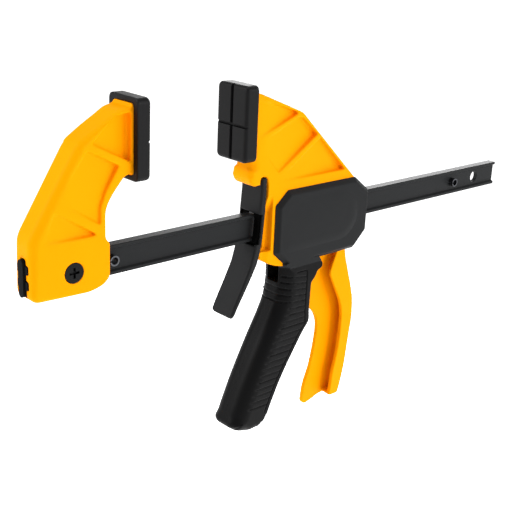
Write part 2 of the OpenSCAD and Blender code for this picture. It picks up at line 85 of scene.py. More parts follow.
def linear(hex_colour: str) -> Tuple[float, float, float, float]:
    """Turns an sRGB hex colour into linear RGBA.

    Args:
        hex_colour: Six hex digits after a hash, as in a paint chart.

    Returns:
        The linear red, green and blue, and an alpha of one.
    """
    channels = []
    for place in (1, 3, 5):
        value = int(hex_colour[place : place + 2], 16) / 255.0
        channels.append(value / 12.92 if value <= 0.04045 else ((value + 0.055) / 1.055) ** 2.4)
    return (channels[0], channels[1], channels[2], 1.0)


def add_node(
    tree: bpy.types.NodeTree,
    kind: str,
    settings: Optional[dict] = None,
    feeds: Optional[dict] = None,
) -> bpy.types.Node:
    """Adds one shader node with its settings and links.

    Args:
        tree: The node tree that takes the node.
        kind: Blender's name for the node's type.
        settings: The node's own properties.
        feeds: Input names or numbers, each with a value or the output socket that feeds it.

    Returns:
        The new node.
    """
    node = tree.nodes.new(kind)
    for name, value in (settings or {}).items():
        setattr(node, name, value)
    for name, value in (feeds or {}).items():
        socket = node.inputs[name]
        if isinstance(value, bpy.types.NodeSocket):
            tree.links.new(value, socket)
        else:
            socket.default_value = value
    return node


# ---------------------------------------------------------------------------- finishes


@dataclass(frozen=True)
class Surface:
    """What every finish has: its material's name, and two colours that drift into each other."""

    name: str
    colour: str
    deep_colour: str

    def material(self) -> bpy.types.Material:
        """Builds the material once, and finds it again after that.

        Returns:
            The finished material.
        """
        made = bpy.data.materials.get(self.name)
        if made is None:
            made = bpy.data.materials.new(self.name)
            made.use_nodes = True
            tree = made.node_tree
            tree.nodes.clear()
            shader = self.shader(tree, add_node(tree, "ShaderNodeTexCoord").outputs["Object"])
            add_node(tree, "ShaderNodeOutputMaterial", feeds={"Surface": shader.outputs["BSDF"]})
        return made

    def shader(self, tree: bpy.types.NodeTree, place: bpy.types.NodeSocket) -> bpy.types.Node:
        """Builds the shader and all that feeds it.

        Args:
            tree: The material's node tree.
            place: The socket that gives each point's place on the piece.

        Returns:
            The shader node.
        """
        raise NotImplementedError


@dataclass(frozen=True)
class MouldedPlastic(Surface):
    """Glass-filled nylon from a spark-eroded mould: an even colour with a fine pebbled grain.

    The colour drifts slowly with the flow of the melt, and convex edges are painted lighter as a
    painted highlight.
    The grain is drawn at about four times its real width, so that it shows at arm's length.
    """

    # Colour painted on convex edges: a painted highlight on the rims
    edge_highlight_colour: str
    roughness: float
    gloss: float
    grain_mm: float = 0.45
    grain_height_mm: float = 0.03
    flow_mm: float = 26.0
    ior: float = 1.53
    # How much smoother and rougher the surface gets as the flow changes
    sheen_drift: Point = (-0.04, 0.05)
    # How convex an edge is where the painted edge highlight starts, and where it is full
    highlight_convexity: Point = (0.52, 0.62)

    def shader(self, tree: bpy.types.NodeTree, place: bpy.types.NodeSocket) -> bpy.types.Node:
        """Builds a shader with a slow drift of colour, painted edge highlights and a pebbled relief.

        Args:
            tree: The material's node tree.
            place: The socket that gives each point's place on the piece.

        Returns:
            The shader node.
        """
        flow = add_node(
            tree,
            "ShaderNodeTexNoise",
            feeds={"Vector": place, "Scale": 1.0 / metres(self.flow_mm), "Detail": 3.0},
        )
        tint = add_node(
            tree,
            "ShaderNodeMix",
            {"data_type": "RGBA"},
            {0: flow.outputs["Fac"], 6: linear(self.colour), 7: linear(self.deep_colour)},
        )
        # Convex edges are painted lighter here: a painted highlight, not a colour of the plastic
        edge = add_node(
            tree,
            "ShaderNodeMapRange",
            feeds={
                "Value": add_node(tree, "ShaderNodeNewGeometry").outputs["Pointiness"],
                "From Min": self.highlight_convexity[0],
                "From Max": self.highlight_convexity[1],
            },
        )
        highlighted = add_node(
            tree,
            "ShaderNodeMix",
            {"data_type": "RGBA"},
            {0: edge.outputs["Result"], 6: tint.outputs[2], 7: linear(self.edge_highlight_colour)},
        )
        sheen = add_node(
            tree,
            "ShaderNodeMapRange",
            feeds={
                "Value": flow.outputs["Fac"],
                "To Min": self.roughness + self.sheen_drift[0],
                "To Max": self.roughness + self.sheen_drift[1],
            },
        )
        grain = add_node(
            tree,
            "ShaderNodeTexNoise",
            feeds={"Vector": place, "Scale": 1.0 / metres(self.grain_mm), "Detail": 1.5},
        )
        relief = add_node(
            tree,
            "ShaderNodeBump",
            feeds={
                "Height": grain.outputs["Fac"],
                "Distance": metres(self.grain_height_mm),
                "Strength": 0.6,
            },
        )
        return add_node(
            tree,
            "ShaderNodeBsdfPrincipled",
            feeds={
                "Base Color": highlighted.outputs[2],
                "Roughness": sheen.outputs["Result"],
                "Normal": relief.outputs["Normal"],
                "IOR": self.ior,
                "Specular IOR Level": self.gloss,
            },
        )


@dataclass(frozen=True)
class RolledSteel(Surface):
    """Flat or turned steel: fine lines along X from rolling or turning, and a blotchy skin.

    Steel under a black coat has metallic 0, because the coat gives the reflection there.
    """

    roughness: float
    metallic: float
    gloss: float = 0.5
    line_mm: float = 0.5
    line_length_mm: float = 40.0
    line_height_mm: float = 0.012
    blotch_mm: float = 18.0
    # How much smoother and rougher the surface gets from line to line
    sheen_drift: Point = (-0.06, 0.08)

    def shader(self, tree: bpy.types.NodeTree, place: bpy.types.NodeSocket) -> bpy.types.Node:
        """Builds a shader with streaks along X in its colour, roughness and relief.

        Args:
            tree: The material's node tree.
            place: The socket that gives each point's place on the piece.

        Returns:
            The shader node.
        """
        stretched = add_node(
            tree,
            "ShaderNodeMapping",
            feeds={
                "Vector": place,
                "Scale": (
                    1.0 / metres(self.line_length_mm),
                    1.0 / metres(self.line_mm),
                    1.0 / metres(self.line_mm),
                ),
            },
        )
        streaks = add_node(
            tree,
            "ShaderNodeTexNoise",
            feeds={"Vector": stretched.outputs["Vector"], "Scale": 1.0, "Detail": 2.0},
        )
        blotches = add_node(
            tree,
            "ShaderNodeTexNoise",
            feeds={"Vector": place, "Scale": 1.0 / metres(self.blotch_mm), "Detail": 4.0},
        )
        blend = add_node(
            tree,
            "ShaderNodeMath",
            {"operation": "MULTIPLY"},
            {0: streaks.outputs["Fac"], 1: blotches.outputs["Fac"]},
        )
        tint = add_node(
            tree,
            "ShaderNodeMix",
            {"data_type": "RGBA"},
            {0: blend.outputs[0], 6: linear(self.colour), 7: linear(self.deep_colour)},
        )
        sheen = add_node(
            tree,
            "ShaderNodeMapRange",
            feeds={
                "Value": streaks.outputs["Fac"],
                "To Min": self.roughness + self.sheen_drift[0],
                "To Max": self.roughness + self.sheen_drift[1],
            },
        )
        relief = add_node(
            tree,
            "ShaderNodeBump",
            feeds={
                "Height": streaks.outputs["Fac"],
                "Distance": metres(self.line_height_mm),
                "Strength": 0.5,
            },
        )
        return add_node(
            tree,
            "ShaderNodeBsdfPrincipled",
            feeds={
                "Base Color": tint.outputs[2],
                "Metallic": self.metallic,
                "Roughness": sheen.outputs["Result"],
                "Normal": relief.outputs["Normal"],
                "Specular IOR Level": self.gloss,
            },
        )


class Finish(Enum):
    """The clamp's finishes, each under the name of its material and how it was made."""

    # Yellow nylon: saturated and even, with so little shine that only its form shades it
    YELLOW_NYLON = MouldedPlastic(
        "yellow_moulded_nylon", "#F29600", "#EE9100", "#F6A104", 0.42, 0.012
    )
    # Black nylon of the side panels: matt and even, it takes light without a hot spot
    BLACK_NYLON = MouldedPlastic(
        "black_matt_nylon", "#18191A", "#151617", "#222324", 0.6, 0.105, 0.8, 0.05
    )
    # The grip's mould is polished, so it is darker than the panels
    GRIP_NYLON = MouldedPlastic(
        "black_polished_nylon", "#0A0A0B", "#090909", "#171718", 0.42, 0.06, 0.6, 0.015
    )
    # The lever is pressed and powder coated: satin, with a faint orange peel
    LEVER_COAT = MouldedPlastic(
        "black_satin_coat", "#161718", "#141415", "#2A2A2B", 0.5, 0.1, 1.2, 0.02
    )
    # Pads of soft elastomer: a dull even black with a slight bloom
    PAD_ELASTOMER = MouldedPlastic(
        "black_elastomer", "#0C0C0D", "#0A0A0B", "#19191A", 0.45, 0.1, 0.35, 0.02
    )
    # End cap of nylon from a blasted mould: dull, and darker than the pads
    CAP_NYLON = MouldedPlastic(
        "black_dull_nylon", "#0C0C0D", "#0A0A0B", "#171718", 0.6, 0.02, 0.6, 0.02
    )
    # Bar of cold rolled steel, and shell screws, blackened: dark, with streaks along X
    BLACKENED_STEEL = RolledSteel(
        "blackened_rolled_steel", "#202122", "#1A1B1C", 0.42, 0.0, 0.065
    )
    # Jaw screw with black oxide: nearly black, with a soft sheen
    BLACK_OXIDE = RolledSteel("black_oxide_steel", "#0B0B0C", "#080809", 0.4, 0.0, 0.1, 0.3, 6.0)
    # Brake plate of hardened steel, phosphated dark and painted nearly black as painted shade in the
    # lever's window: it gives almost nothing back
    BLACK_PHOSPHATE = RolledSteel(
        "brake_plate_painted_shade", "#040404", "#030303", 0.7, 0.0, 0.02, 0.3, 6.0
    )
    # Stop pins of spring steel, oiled: grey with a bright edge
    OILED_STEEL = RolledSteel("oiled_spring_steel", "#55565A", "#3C3D40", 0.3, 1.0, 0.5, 0.3, 6.0)
    # Pins, plates and springs of zinc plated steel: light grey and bright
    PLATED_STEEL = RolledSteel("zinc_plated_steel", "#A9AAAC", "#8E8F92", 0.38, 1.0, 0.5, 0.3, 6.0)

    def dress(self, piece: Piece) -> None:
        """Puts this finish on a piece.

        Args:
            piece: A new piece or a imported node.
        """
        material = self.value.material()
        if piece.material_slots:
            for holder in piece.material_slots:
                holder.material = material
        else:
            piece.data.materials.append(material)


# ---------------------------------------------------------------------------- outlines


@dataclass(frozen=True)
class Turn:
    """A corner of a moulding's outline.

    fillet is how far the corner is eased along its two sides, and edge is the radius to which
    the moulding's long edges are rounded over there.
    """

    x: float
    z: float
    fillet: float = 0.0
    edge: float = 0.0


@dataclass(frozen=True)
class Profile:
    """A moulding's side outline, whose radii change along it."""

    turns: Tuple[Turn, ...]
    # How many flats make up an eased corner, and how much of a side the corner may take
    steps: int = 6
    side_share: float = 0.48

    def trace(self) -> Tuple[List[Point], List[float]]:
        """Works out the outline with its corners eased.

        Returns:
            The outline's points in order, and the edge radius at each.
        """
        points: List[Point] = []
        radii: List[float] = []
        for number, turn in enumerate(self.turns):
            here = Vector((turn.x, turn.z))
            before = self.turns[number - 1]
            after = self.turns[(number + 1) % len(self.turns)]
            back = Vector((before.x, before.z)) - here
            onward = Vector((after.x, after.z)) - here
            run = min(turn.fillet, self.side_share * min(back.length, onward.length))
            start, end = here + back.normalized() * run, here + onward.normalized() * run
            count = self.steps if run > 0.0 else 0
            for step in range(count + 1):
                share = step / count if count else 0.5
                eased = start * (1 - share) ** 2 + here * 2 * share * (1 - share) + end * share**2
                points.append((eased.x, eased.y))
                radii.append(turn.edge)
        return points, radii


class Skin:
    """A piece's mesh points in millimetres, shaped all together and put back."""

    # How far past the drawn outline and sides a point may stand and still be rounded over
    outline_slack: ClassVar[float] = 0.6
    side_slack: ClassVar[float] = 0.5
    # The height over which rounding fades out below its ceiling, and the least radius drawn
    ceiling_fade: ClassVar[float] = 2.5
    least_radius: ClassVar[float] = 0.05

    def __init__(self, piece: Piece, at: float) -> None:
        """Reads a piece.

        Args:
            piece: The piece to shape.
            at: The station on the bar that X counts from.
        """
        self.mesh = piece.data
        self.at = at
        self.points = self._read("co") * MM_PER_METRE
        self.points[:, 0] -= at

    def _read(self, attribute: str) -> np.ndarray:
        """Reads one vector of every mesh point.

        Args:
            attribute: Blender's name for it, such as co for the point's place.

        Returns:
            The vectors in three columns.
        """
        flat = np.empty(len(self.mesh.vertices) * 3)
        self.mesh.vertices.foreach_get(attribute, flat)
        return flat.reshape(-1, 3)

    def normals(self) -> np.ndarray:
        """Gives the direction in which the mesh faces at each point, as it was last put back."""
        return self._read("normal")

    def put_back(self) -> None:
        """Writes the points into the mesh."""
        moved = self.points.copy()
        moved[:, 0] += self.at
        self.mesh.vertices.foreach_set("co", (moved / MM_PER_METRE).ravel())
        self.mesh.update()

    def inside(self, outline: Outline) -> Tuple[np.ndarray, np.ndarray, np.ndarray]:
        """Measures every point against an outline in X and Z.

        Args:
            outline: The closed outline.

        Returns:
            How deep each point lies inside, negative outside; the direction to the nearest
            place on the outline; and that place as a corner's number and a share of its side.
        """
        x, z = self.points[:, 0], self.points[:, 2]
        nearest = np.full(len(x), np.inf)
        toward = np.zeros((len(x), 2))
        place = np.zeros(len(x))
        within = np.zeros(len(x), dtype=bool)
        for number, (x0, z0) in enumerate(outline):
            x1, z1 = outline[(number + 1) % len(outline)]
            dx, dz = x1 - x0, z1 - z0
            share = np.clip(((x - x0) * dx + (z - z0) * dz) / (dx * dx + dz * dz), 0.0, 1.0)
            away_x, away_z = x0 + share * dx - x, z0 + share * dz - z
            distance = np.hypot(away_x, away_z)
            closer = distance < nearest
            nearest[closer] = distance[closer]
            place[closer] = number + share[closer]
            safe = np.maximum(distance, TINY)
            toward[closer, 0] = (away_x / safe)[closer]
            toward[closer, 1] = (away_z / safe)[closer]
            if z0 != z1:
                crosses = (z0 > z) != (z1 > z)
                within ^= crosses & (x < x0 + (z - z0) * dx / dz)
        return np.where(within, nearest, -nearest), toward, place

    def round_over(self, shape: Profile, half: float, ceiling: float = math.inf) -> None:
        """Rounds the long edges of a plate that lies across the clamp, as a moulder would.

        Args:
            shape: The plate's outline with its edge radii.
            half: Half of the plate's width.
            ceiling: The height at which the rounding has faded to nothing.
        """
        outline, radii = shape.trace()
        depth, toward, place = self.inside(outline)
        low = place.astype(int)
        share = place - low
        steps = np.array(radii)
        radius = steps[low % len(steps)] * (1 - share) + steps[(low + 1) % len(steps)] * share
        radius *= np.clip((ceiling - self.points[:, 2]) / self.ceiling_fade, 0.0, 1.0)
        side = self.points[:, 1]
        inset = half - np.abs(side)
        along_x, along_y = radius - depth, radius - inset
        reach = np.hypot(along_x, along_y)
        worn = (depth > -self.outline_slack) & (inset > -self.side_slack)
        worn &= (along_x > 0) & (along_y > 0) & (reach > radius) & (radius > self.least_radius)
        toward = toward * np.sign(depth)[:, None]
        pull = np.where(worn, radius / np.maximum(reach, TINY), 1.0)
        shift = np.where(worn, along_x * (1 - pull), 0.0)
        self.points[:, 0] -= toward[:, 0] * shift
        self.points[:, 2] -= toward[:, 1] * shift
        rounded = half - radius + along_y * pull
        self.points[:, 1] = np.where(worn, np.sign(side) * rounded, side)


# ---------------------------------------------------------------------------- modelling


class Bench:
    """The modelling moves that every moulded piece shares."""

    @staticmethod
    def only(piece: Piece) -> None:
        """Selects one piece and nothing else, in object mode.

        Args:
            piece: The piece to select and make active.
        """
        if bpy.context.object and bpy.context.object.mode != "OBJECT":
            bpy.ops.object.mode_set(mode="OBJECT")
        bpy.ops.object.select_all(action="DESELECT")
        piece.select_set(True)
        bpy.context.view_layer.objects.active = piece

    @staticmethod
    def settle(piece: Piece) -> Piece:
        """Puts a piece's place into its mesh and leaves its object at the origin.

        Args:
            piece: The piece, moved, turned or scaled as an object.

        Returns:
            The piece.
        """
        Bench.only(piece)
        bpy.ops.object.transform_apply(location=True, rotation=True, scale=True)
        return piece

    @staticmethod
    def pick_faces(piece: Piece, test: Callable[[bmesh.types.BMFace], bool]) -> None:
        """Enters edit mode with only some faces selected.

        Args:
            piece: The piece to work on.
            test: Tells whether a face is wanted.
        """
        Bench.only(piece)
        bpy.ops.object.mode_set(mode="EDIT")
        bpy.ops.mesh.select_mode(type="FACE")
        bpy.ops.mesh.select_all(action="DESELECT")
        mesh = bmesh.from_edit_mesh(piece.data)
        for face in mesh.faces:
            face.select_set(test(face))
        bmesh.update_edit_mesh(piece.data)

    @staticmethod
    def plate(name: str, outline: Outline, y_from: float, y_to: float, at: float) -> Piece:
        """Makes a solid by extruding an outline across the clamp.

        Args:
            name: The piece's name.
            outline: Its corners in X and Z, in order.
            y_from: Where the outline lies.
            y_to: Where the extrusion ends.
            at: The station on the bar that the outline's X counts from.

        Returns:
            The closed solid.
        """
        bpy.ops.object.select_all(action="DESELECT")
        bpy.ops.mesh.primitive_circle_add(
            vertices=len(outline), radius=0.01, fill_type="NGON", location=(0, 0, 0)
        )
        piece = bpy.context.object
        piece.name = name
        for vertex, (x, z) in zip(piece.data.vertices, outline):
            vertex.co = (metres(x + at), metres(y_from), metres(z))
        bpy.ops.object.mode_set(mode="EDIT")
        bpy.ops.mesh.select_all(action="SELECT")
        bpy.ops.mesh.extrude_region_move(
            TRANSFORM_OT_translate={"value": (0, metres(y_to - y_from), 0)}
        )
        bpy.ops.mesh.select_all(action="SELECT")
        bpy.ops.mesh.normals_make_consistent(inside=False)
        bpy.ops.object.mode_set(mode="OBJECT")
        return piece

    @staticmethod
    def block(name: str, low: Corner, high: Corner, at: float = 0.0) -> Piece:
        """Makes a box between two corners.

        Args:
            name: The piece's name.
            low: Its lowest corner.
            high: Its highest corner.
            at: The station on the bar that the corners' X counts from.

        Returns:
            The box.
        """
        bpy.ops.object.select_all(action="DESELECT")
        middle = [metres((a + b) / 2) for a, b in zip(low, high)]
        middle[0] += metres(at)
        bpy.ops.mesh.primitive_cube_add(size=1, location=middle)
        piece = bpy.context.object
        piece.name = name
        piece.scale = [metres(b - a) for a, b in zip(low, high)]
        return Bench.settle(piece)

    @staticmethod
    def rod(
        name: str,
        centre: Point,
        radius: float,
        y_from: float,
        y_to: float,
        at: float,
        sides: int = 64,
    ) -> Piece:
        """Makes a cylinder across the clamp.

        Args:
            name: The piece's name.
            centre: Its axis in X and Z.
            radius: Its radius.
            y_from: One end.
            y_to: The other end.
            at: The station that the centre's X counts from.
            sides: How many sides it has.

        Returns:
            The cylinder.
        """
        bpy.ops.object.select_all(action="DESELECT")
        bpy.ops.mesh.primitive_cylinder_add(
            vertices=sides,
            radius=metres(radius),
            depth=metres(abs(y_to - y_from)),
            location=(metres(centre[0] + at), metres((y_from + y_to) / 2), metres(centre[1])),
            rotation=(math.pi / 2, 0, 0),
        )
        piece = bpy.context.object
        piece.name = name
        return Bench.settle(piece)

    @staticmethod
    def _boolean(target: Piece, tool: Piece, operation: str) -> Piece:
        """Applies one boolean with a tool, which is used up.

        Args:
            target: The piece that is changed.
            tool: The solid that it is combined with.
            operation: Blender's name for the way they are combined.

        Returns:
            The changed piece.
        """
        Bench.only(target)
        bpy.ops.object.modifier_add(type="BOOLEAN")
        modifier = target.modifiers[-1]
        modifier.object = tool
        modifier.operation = operation
        modifier.solver = "EXACT"
        bpy.ops.object.modifier_apply(modifier=modifier.name)
        bpy.data.objects.remove(tool)
        return target

    @staticmethod
    def cut(target: Piece, tool: Piece) -> Piece:
        """Cuts a tool out of a piece."""
        return Bench._boolean(target, tool, "DIFFERENCE")

    @staticmethod
    def fuse(target: Piece, tool: Piece) -> Piece:
        """Adds a solid to a piece."""
        return Bench._boolean(target, tool, "UNION")

    @staticmethod
    def keep(target: Piece, tool: Piece) -> Piece:
        """Keeps only what lies inside a tool."""
        return Bench._boolean(target, tool, "INTERSECT")

    @staticmethod
    def copy(piece: Piece, name: str) -> Piece:
        """Copies a piece with a mesh of its own.

        Args:
            piece: The piece to copy.
            name: The copy's name.

        Returns:
            The copy.
        """
        Bench.only(piece)
        bpy.ops.object.duplicate()
        twin = bpy.context.object
        twin.name = name
        return twin

    @staticmethod
    def other_side(piece: Piece, name: str) -> Piece:
        """Copies a piece to the other side of the clamp.

        Args:
            piece: A piece on one side.
            name: The copy's name.

        Returns:
            The mirrored copy, with its faces outwards.
        """
        twin = Bench.copy(piece, name)
        bpy.ops.object.mode_set(mode="EDIT")
        bpy.ops.mesh.select_all(action="SELECT")
        bpy.ops.transform.resize(value=(1, -1, 1), center_override=(0, 0, 0))
        bpy.ops.mesh.normals_make_consistent(inside=False)
        bpy.ops.object.mode_set(mode="OBJECT")
        return twin

    @staticmethod
    def half_of(piece: Piece, side: int, gap: float, sharp_angle: float = 65.0) -> Piece:
        """Keeps the part of a piece on one side of the clamp's middle plane.

        Args:
            piece: The piece, which is cut.
            side: -1 for the near side, or 1.
            gap: How far from the middle plane it ends.
            sharp_angle: The bend in degrees from which an edge is shaded sharp.

        Returns:
            The closed half, with a sharp rim where it was cut.
        """
        Bench.only(piece)
        bpy.ops.object.mode_set(mode="EDIT")
        bpy.ops.mesh.select_all(action="SELECT")
        bpy.ops.mesh.bisect(
            plane_co=(0, metres(side * gap), 0),
            plane_no=(0, -side, 0),
            use_fill=True,
            clear_outer=True,
        )
        bpy.ops.object.mode_set(mode="OBJECT")
        bpy.ops.object.shade_smooth_by_angle(angle=math.radians(sharp_angle))
        return piece

    @staticmethod
    def round_edges(piece: Piece, widest: float, weigh: Weigher, segments: int = 5) -> Piece:
        """Rounds chosen edges, each by its own share of the widest radius.

        Args:
            piece: The piece to round.
            widest: The largest radius.
            weigh: Gives an edge's radius from its two ends, or nought to leave it sharp.
            segments: How many flats make up a rounding.

        Returns:
            The piece.
        """
        mesh = piece.data
        weights = mesh.attributes.new("bevel_weight_edge", "FLOAT", "EDGE")
        for edge in mesh.edges:
            first, second = (mesh.vertices[i].co * MM_PER_METRE for i in edge.vertices)
            weights.data[edge.index].value = min(weigh(first, second) / widest, 1.0)
        Bench.only(piece)
        bpy.ops.object.modifier_add(type="BEVEL")
        modifier = piece.modifiers[-1]
        modifier.limit_method = "WEIGHT"
        modifier.width = metres(widest)
        modifier.segments = segments
        modifier.use_clamp_overlap = True
        bpy.ops.object.modifier_apply(modifier=modifier.name)
        left = piece.data.attributes.get("bevel_weight_edge")
        if left:
            piece.data.attributes.remove(left)
        return piece

    @staticmethod
    def round_lengthwise(piece: Piece, radius: float, segments: int = 5) -> Piece:
        """Rounds the edges that run along the bar for more than a millimetre."""
        return Bench.round_edges(
            piece, radius, lambda a, b: radius if abs(a.x - b.x) > 1.0 else 0.0, segments
        )

    @staticmethod
    def cast(piece: Piece, voxel: float) -> Piece:
        """Gives a built-up piece one even skin, as a moulding has.

        Args:
            piece: The piece.
            voxel: The skin's mesh size.

        Returns:
            The piece, shaded smooth.
        """
        Bench.only(piece)
        bpy.ops.object.modifier_add(type="REMESH")
        modifier = piece.modifiers[-1]
        modifier.mode = "VOXEL"
        modifier.voxel_size = metres(voxel)
        bpy.ops.object.modifier_apply(modifier=modifier.name)
        bpy.ops.object.shade_smooth()
        return piece

    @staticmethod
    def ease(piece: Piece, passes: int, share: Optional[np.ndarray] = None) -> Piece:
        """Eases a cast piece's edges by smoothing passes.

        Args:
            piece: The piece.
            passes: How many passes it gets.
            share: How much of them each mesh point gets, or nothing for all of them everywhere.

        Returns:
            The piece.
        """
        Bench.only(piece)
        bpy.ops.object.modifier_add(type="SMOOTH")
        modifier = piece.modifiers[-1]
        modifier.factor = 0.5
        modifier.iterations = passes
        if share is not None:
            group = piece.vertex_groups.new(name="eased")
            for number in np.flatnonzero(share > 0.0):
                group.add([int(number)], float(share[number]), "REPLACE")
            modifier.vertex_group = group.name
        bpy.ops.object.modifier_apply(modifier=modifier.name)
        piece.vertex_groups.clear()
        return piece


@dataclass(frozen=True)
class Pocket:
    """A side pocket whose floor falls from the surface at one X to its full depth at another."""

    outline: Outline
    fade: float
    deep: float
    depth: float = 4.5
    # How far the cutter stands out of the jaw, and how much of that its floor may use
    proud: float = 2.0
    proud_share: float = 0.9

    def cutter(self, name: str, half: float, at: float) -> Piece:
        """Makes the near side's cutter.

        Args:
            name: The cutter's name.
            half: Half the width of the jaw.
            at: The station that the outline's X counts from.

        Returns:
            A solid from outside the jaw to the pocket's floor.
        """
        tool = Bench.plate(name, self.outline, -half - self.proud, -half, at)
        highest = -half - self.proud_share * self.proud
        for vertex in tool.data.vertices:
            x, y, _ = vertex.co * MM_PER_METRE
            if y > -half - self.proud / 2:
                share = (x - at - self.fade) / (self.deep - self.fade)
                vertex.co.y = metres(max(-half + self.depth * share, highest))
        return tool

    def cut_both(self, jaw: Piece, name: str, half: float, at: float) -> None:
        """Cuts the pocket into both sides of a jaw.

        Args:
            jaw: The jaw, which is cut.
            name: The cutter's name.
            half: Half the width of the jaw.
            at: The station that the outline's X counts from.
        """
        tool = self.cutter(name, half, at)
        Bench.cut(jaw, Bench.other_side(tool, "far_pocket"))
        Bench.cut(jaw, tool)


# ---------------------------------------------------------------------------- sub-assemblies


@dataclass
class SubAssembly:
    """A group of pieces that moves together."""

    body: ClassVar[str] = "bar_assembly"

    def seat(self, piece: Piece, nodes: Sequence[str], slot: str, finish: Finish) -> None:
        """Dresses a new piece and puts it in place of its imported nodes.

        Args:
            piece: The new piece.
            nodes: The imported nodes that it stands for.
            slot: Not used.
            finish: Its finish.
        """
        finish.dress(piece)
        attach(piece, self.body)
        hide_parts(*nodes)
        LOG.info(
            "%s stands for %s on %s, %d faces",
            piece.name, ", ".join(nodes), self.body, len(piece.data.polygons),
        )

    def build(self, nodes: dict) -> None:
        """Builds and dresses the group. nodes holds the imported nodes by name."""
        raise NotImplementedError


@dataclass
class Pad:
    """A soft pad with a cross of grooves in its face and a socket in its back."""

    width: float = 25.0
    height: float = 42.0
    thickness: float = 8.3
    bottom: float = 41.0
    corner_radius: float = 3.0
    rim_radius: float = 1.9
    socket_depth: float = 3.0
    socket_width: float = 17.0
    socket_height: float = 36.0
    socket_radius: float = 1.5
    groove_width: float = 2.4
    cross_width: float = 1.7
    groove_depth: float = 1.5
    # How wide a groove is at its floor, and its cutter just outside the face
    groove_floor_share: float = 0.6
    groove_mouth_share: float = 1.4
    split_height: float = 20.0
    # The bend in degrees from which an edge is shaded sharp
    sharp_angle: float = 32.0
    voxel: float = 0.4
    passes: int = 4
    # How far the cutters stand out of the pad
    socket_proud: float = 2.0
    groove_proud: float = 10.0

    def build(self, name: str, face: float, inward: float) -> Piece:
        """Models one pad.

        Args:
            name: The piece's name.
            face: Where its working face lies along the bar.
            inward: 1 where the pad's body lies towards +X, or -1.

        Returns:
            The pad.
        """
        half = self.width / 2
        back = face + inward * self.thickness
        low, high = min(face, back), max(face, back)
        pad = Bench.block(name, (low, -half, self.bottom), (high, half, self.bottom + self.height))
        Bench.round_lengthwise(pad, self.corner_radius, 6)
        rim = self.rim_radius
        Bench.round_edges(
            pad,
            rim,
            lambda a, b: rim if max(abs(a.x - face), abs(b.x - face)) < TOUCHING else 0.0,
            4,
        )
        middle = self.bottom + self.height / 2
        ends = sorted((back - inward * self.socket_depth, back + inward * self.socket_proud))
        socket = Bench.block(
            "socket",
            (ends[0], -self.socket_width / 2, middle - self.socket_height / 2),
            (ends[1], self.socket_width / 2, middle + self.socket_height / 2),
        )
        Bench.cut(pad, Bench.round_lengthwise(socket, self.socket_radius, 4))
        Bench.ease(Bench.cast(pad, self.voxel), self.passes)
        Bench.cut(pad, self._groove("upright", face, inward, self.groove_width))
        across = self._groove("across", face, inward, self.cross_width)
        across.rotation_euler = (math.pi / 2, 0, 0)
        across.location.z = metres(self.bottom + self.split_height)
        Bench.cut(pad, Bench.settle(across))
        bpy.ops.object.shade_smooth_by_angle(angle=math.radians(self.sharp_angle))
        return pad

    def _groove(self, name: str, face: float, inward: float, width: float) -> Piece:
        """Makes an upright groove's cutter, narrower at its floor than at the face.

        Args:
            name: The cutter's name.
            face: Where the pad's working face lies along the bar.
            inward: 1 where the pad's body lies towards +X, or -1.
            width: The groove's width at the face.

        Returns:
            The cutter.
        """
        reach = self.bottom + self.height + self.groove_proud
        ends = sorted((face - inward * self.groove_depth, face + inward * self.groove_depth))
        tool = Bench.block(name, (ends[0], -width / 2, -reach), (ends[1], width / 2, reach))
        middle = (metres(face), 0, 0)
        for way, share in ((inward, self.groove_floor_share), (-inward, self.groove_mouth_share)):
            Bench.pick_faces(tool, lambda side, way=way: side.normal.x * way > SQUARE)
            bpy.ops.transform.resize(value=(1, share, 1), center_override=middle)
        bpy.ops.object.mode_set(mode="OBJECT")
        return tool


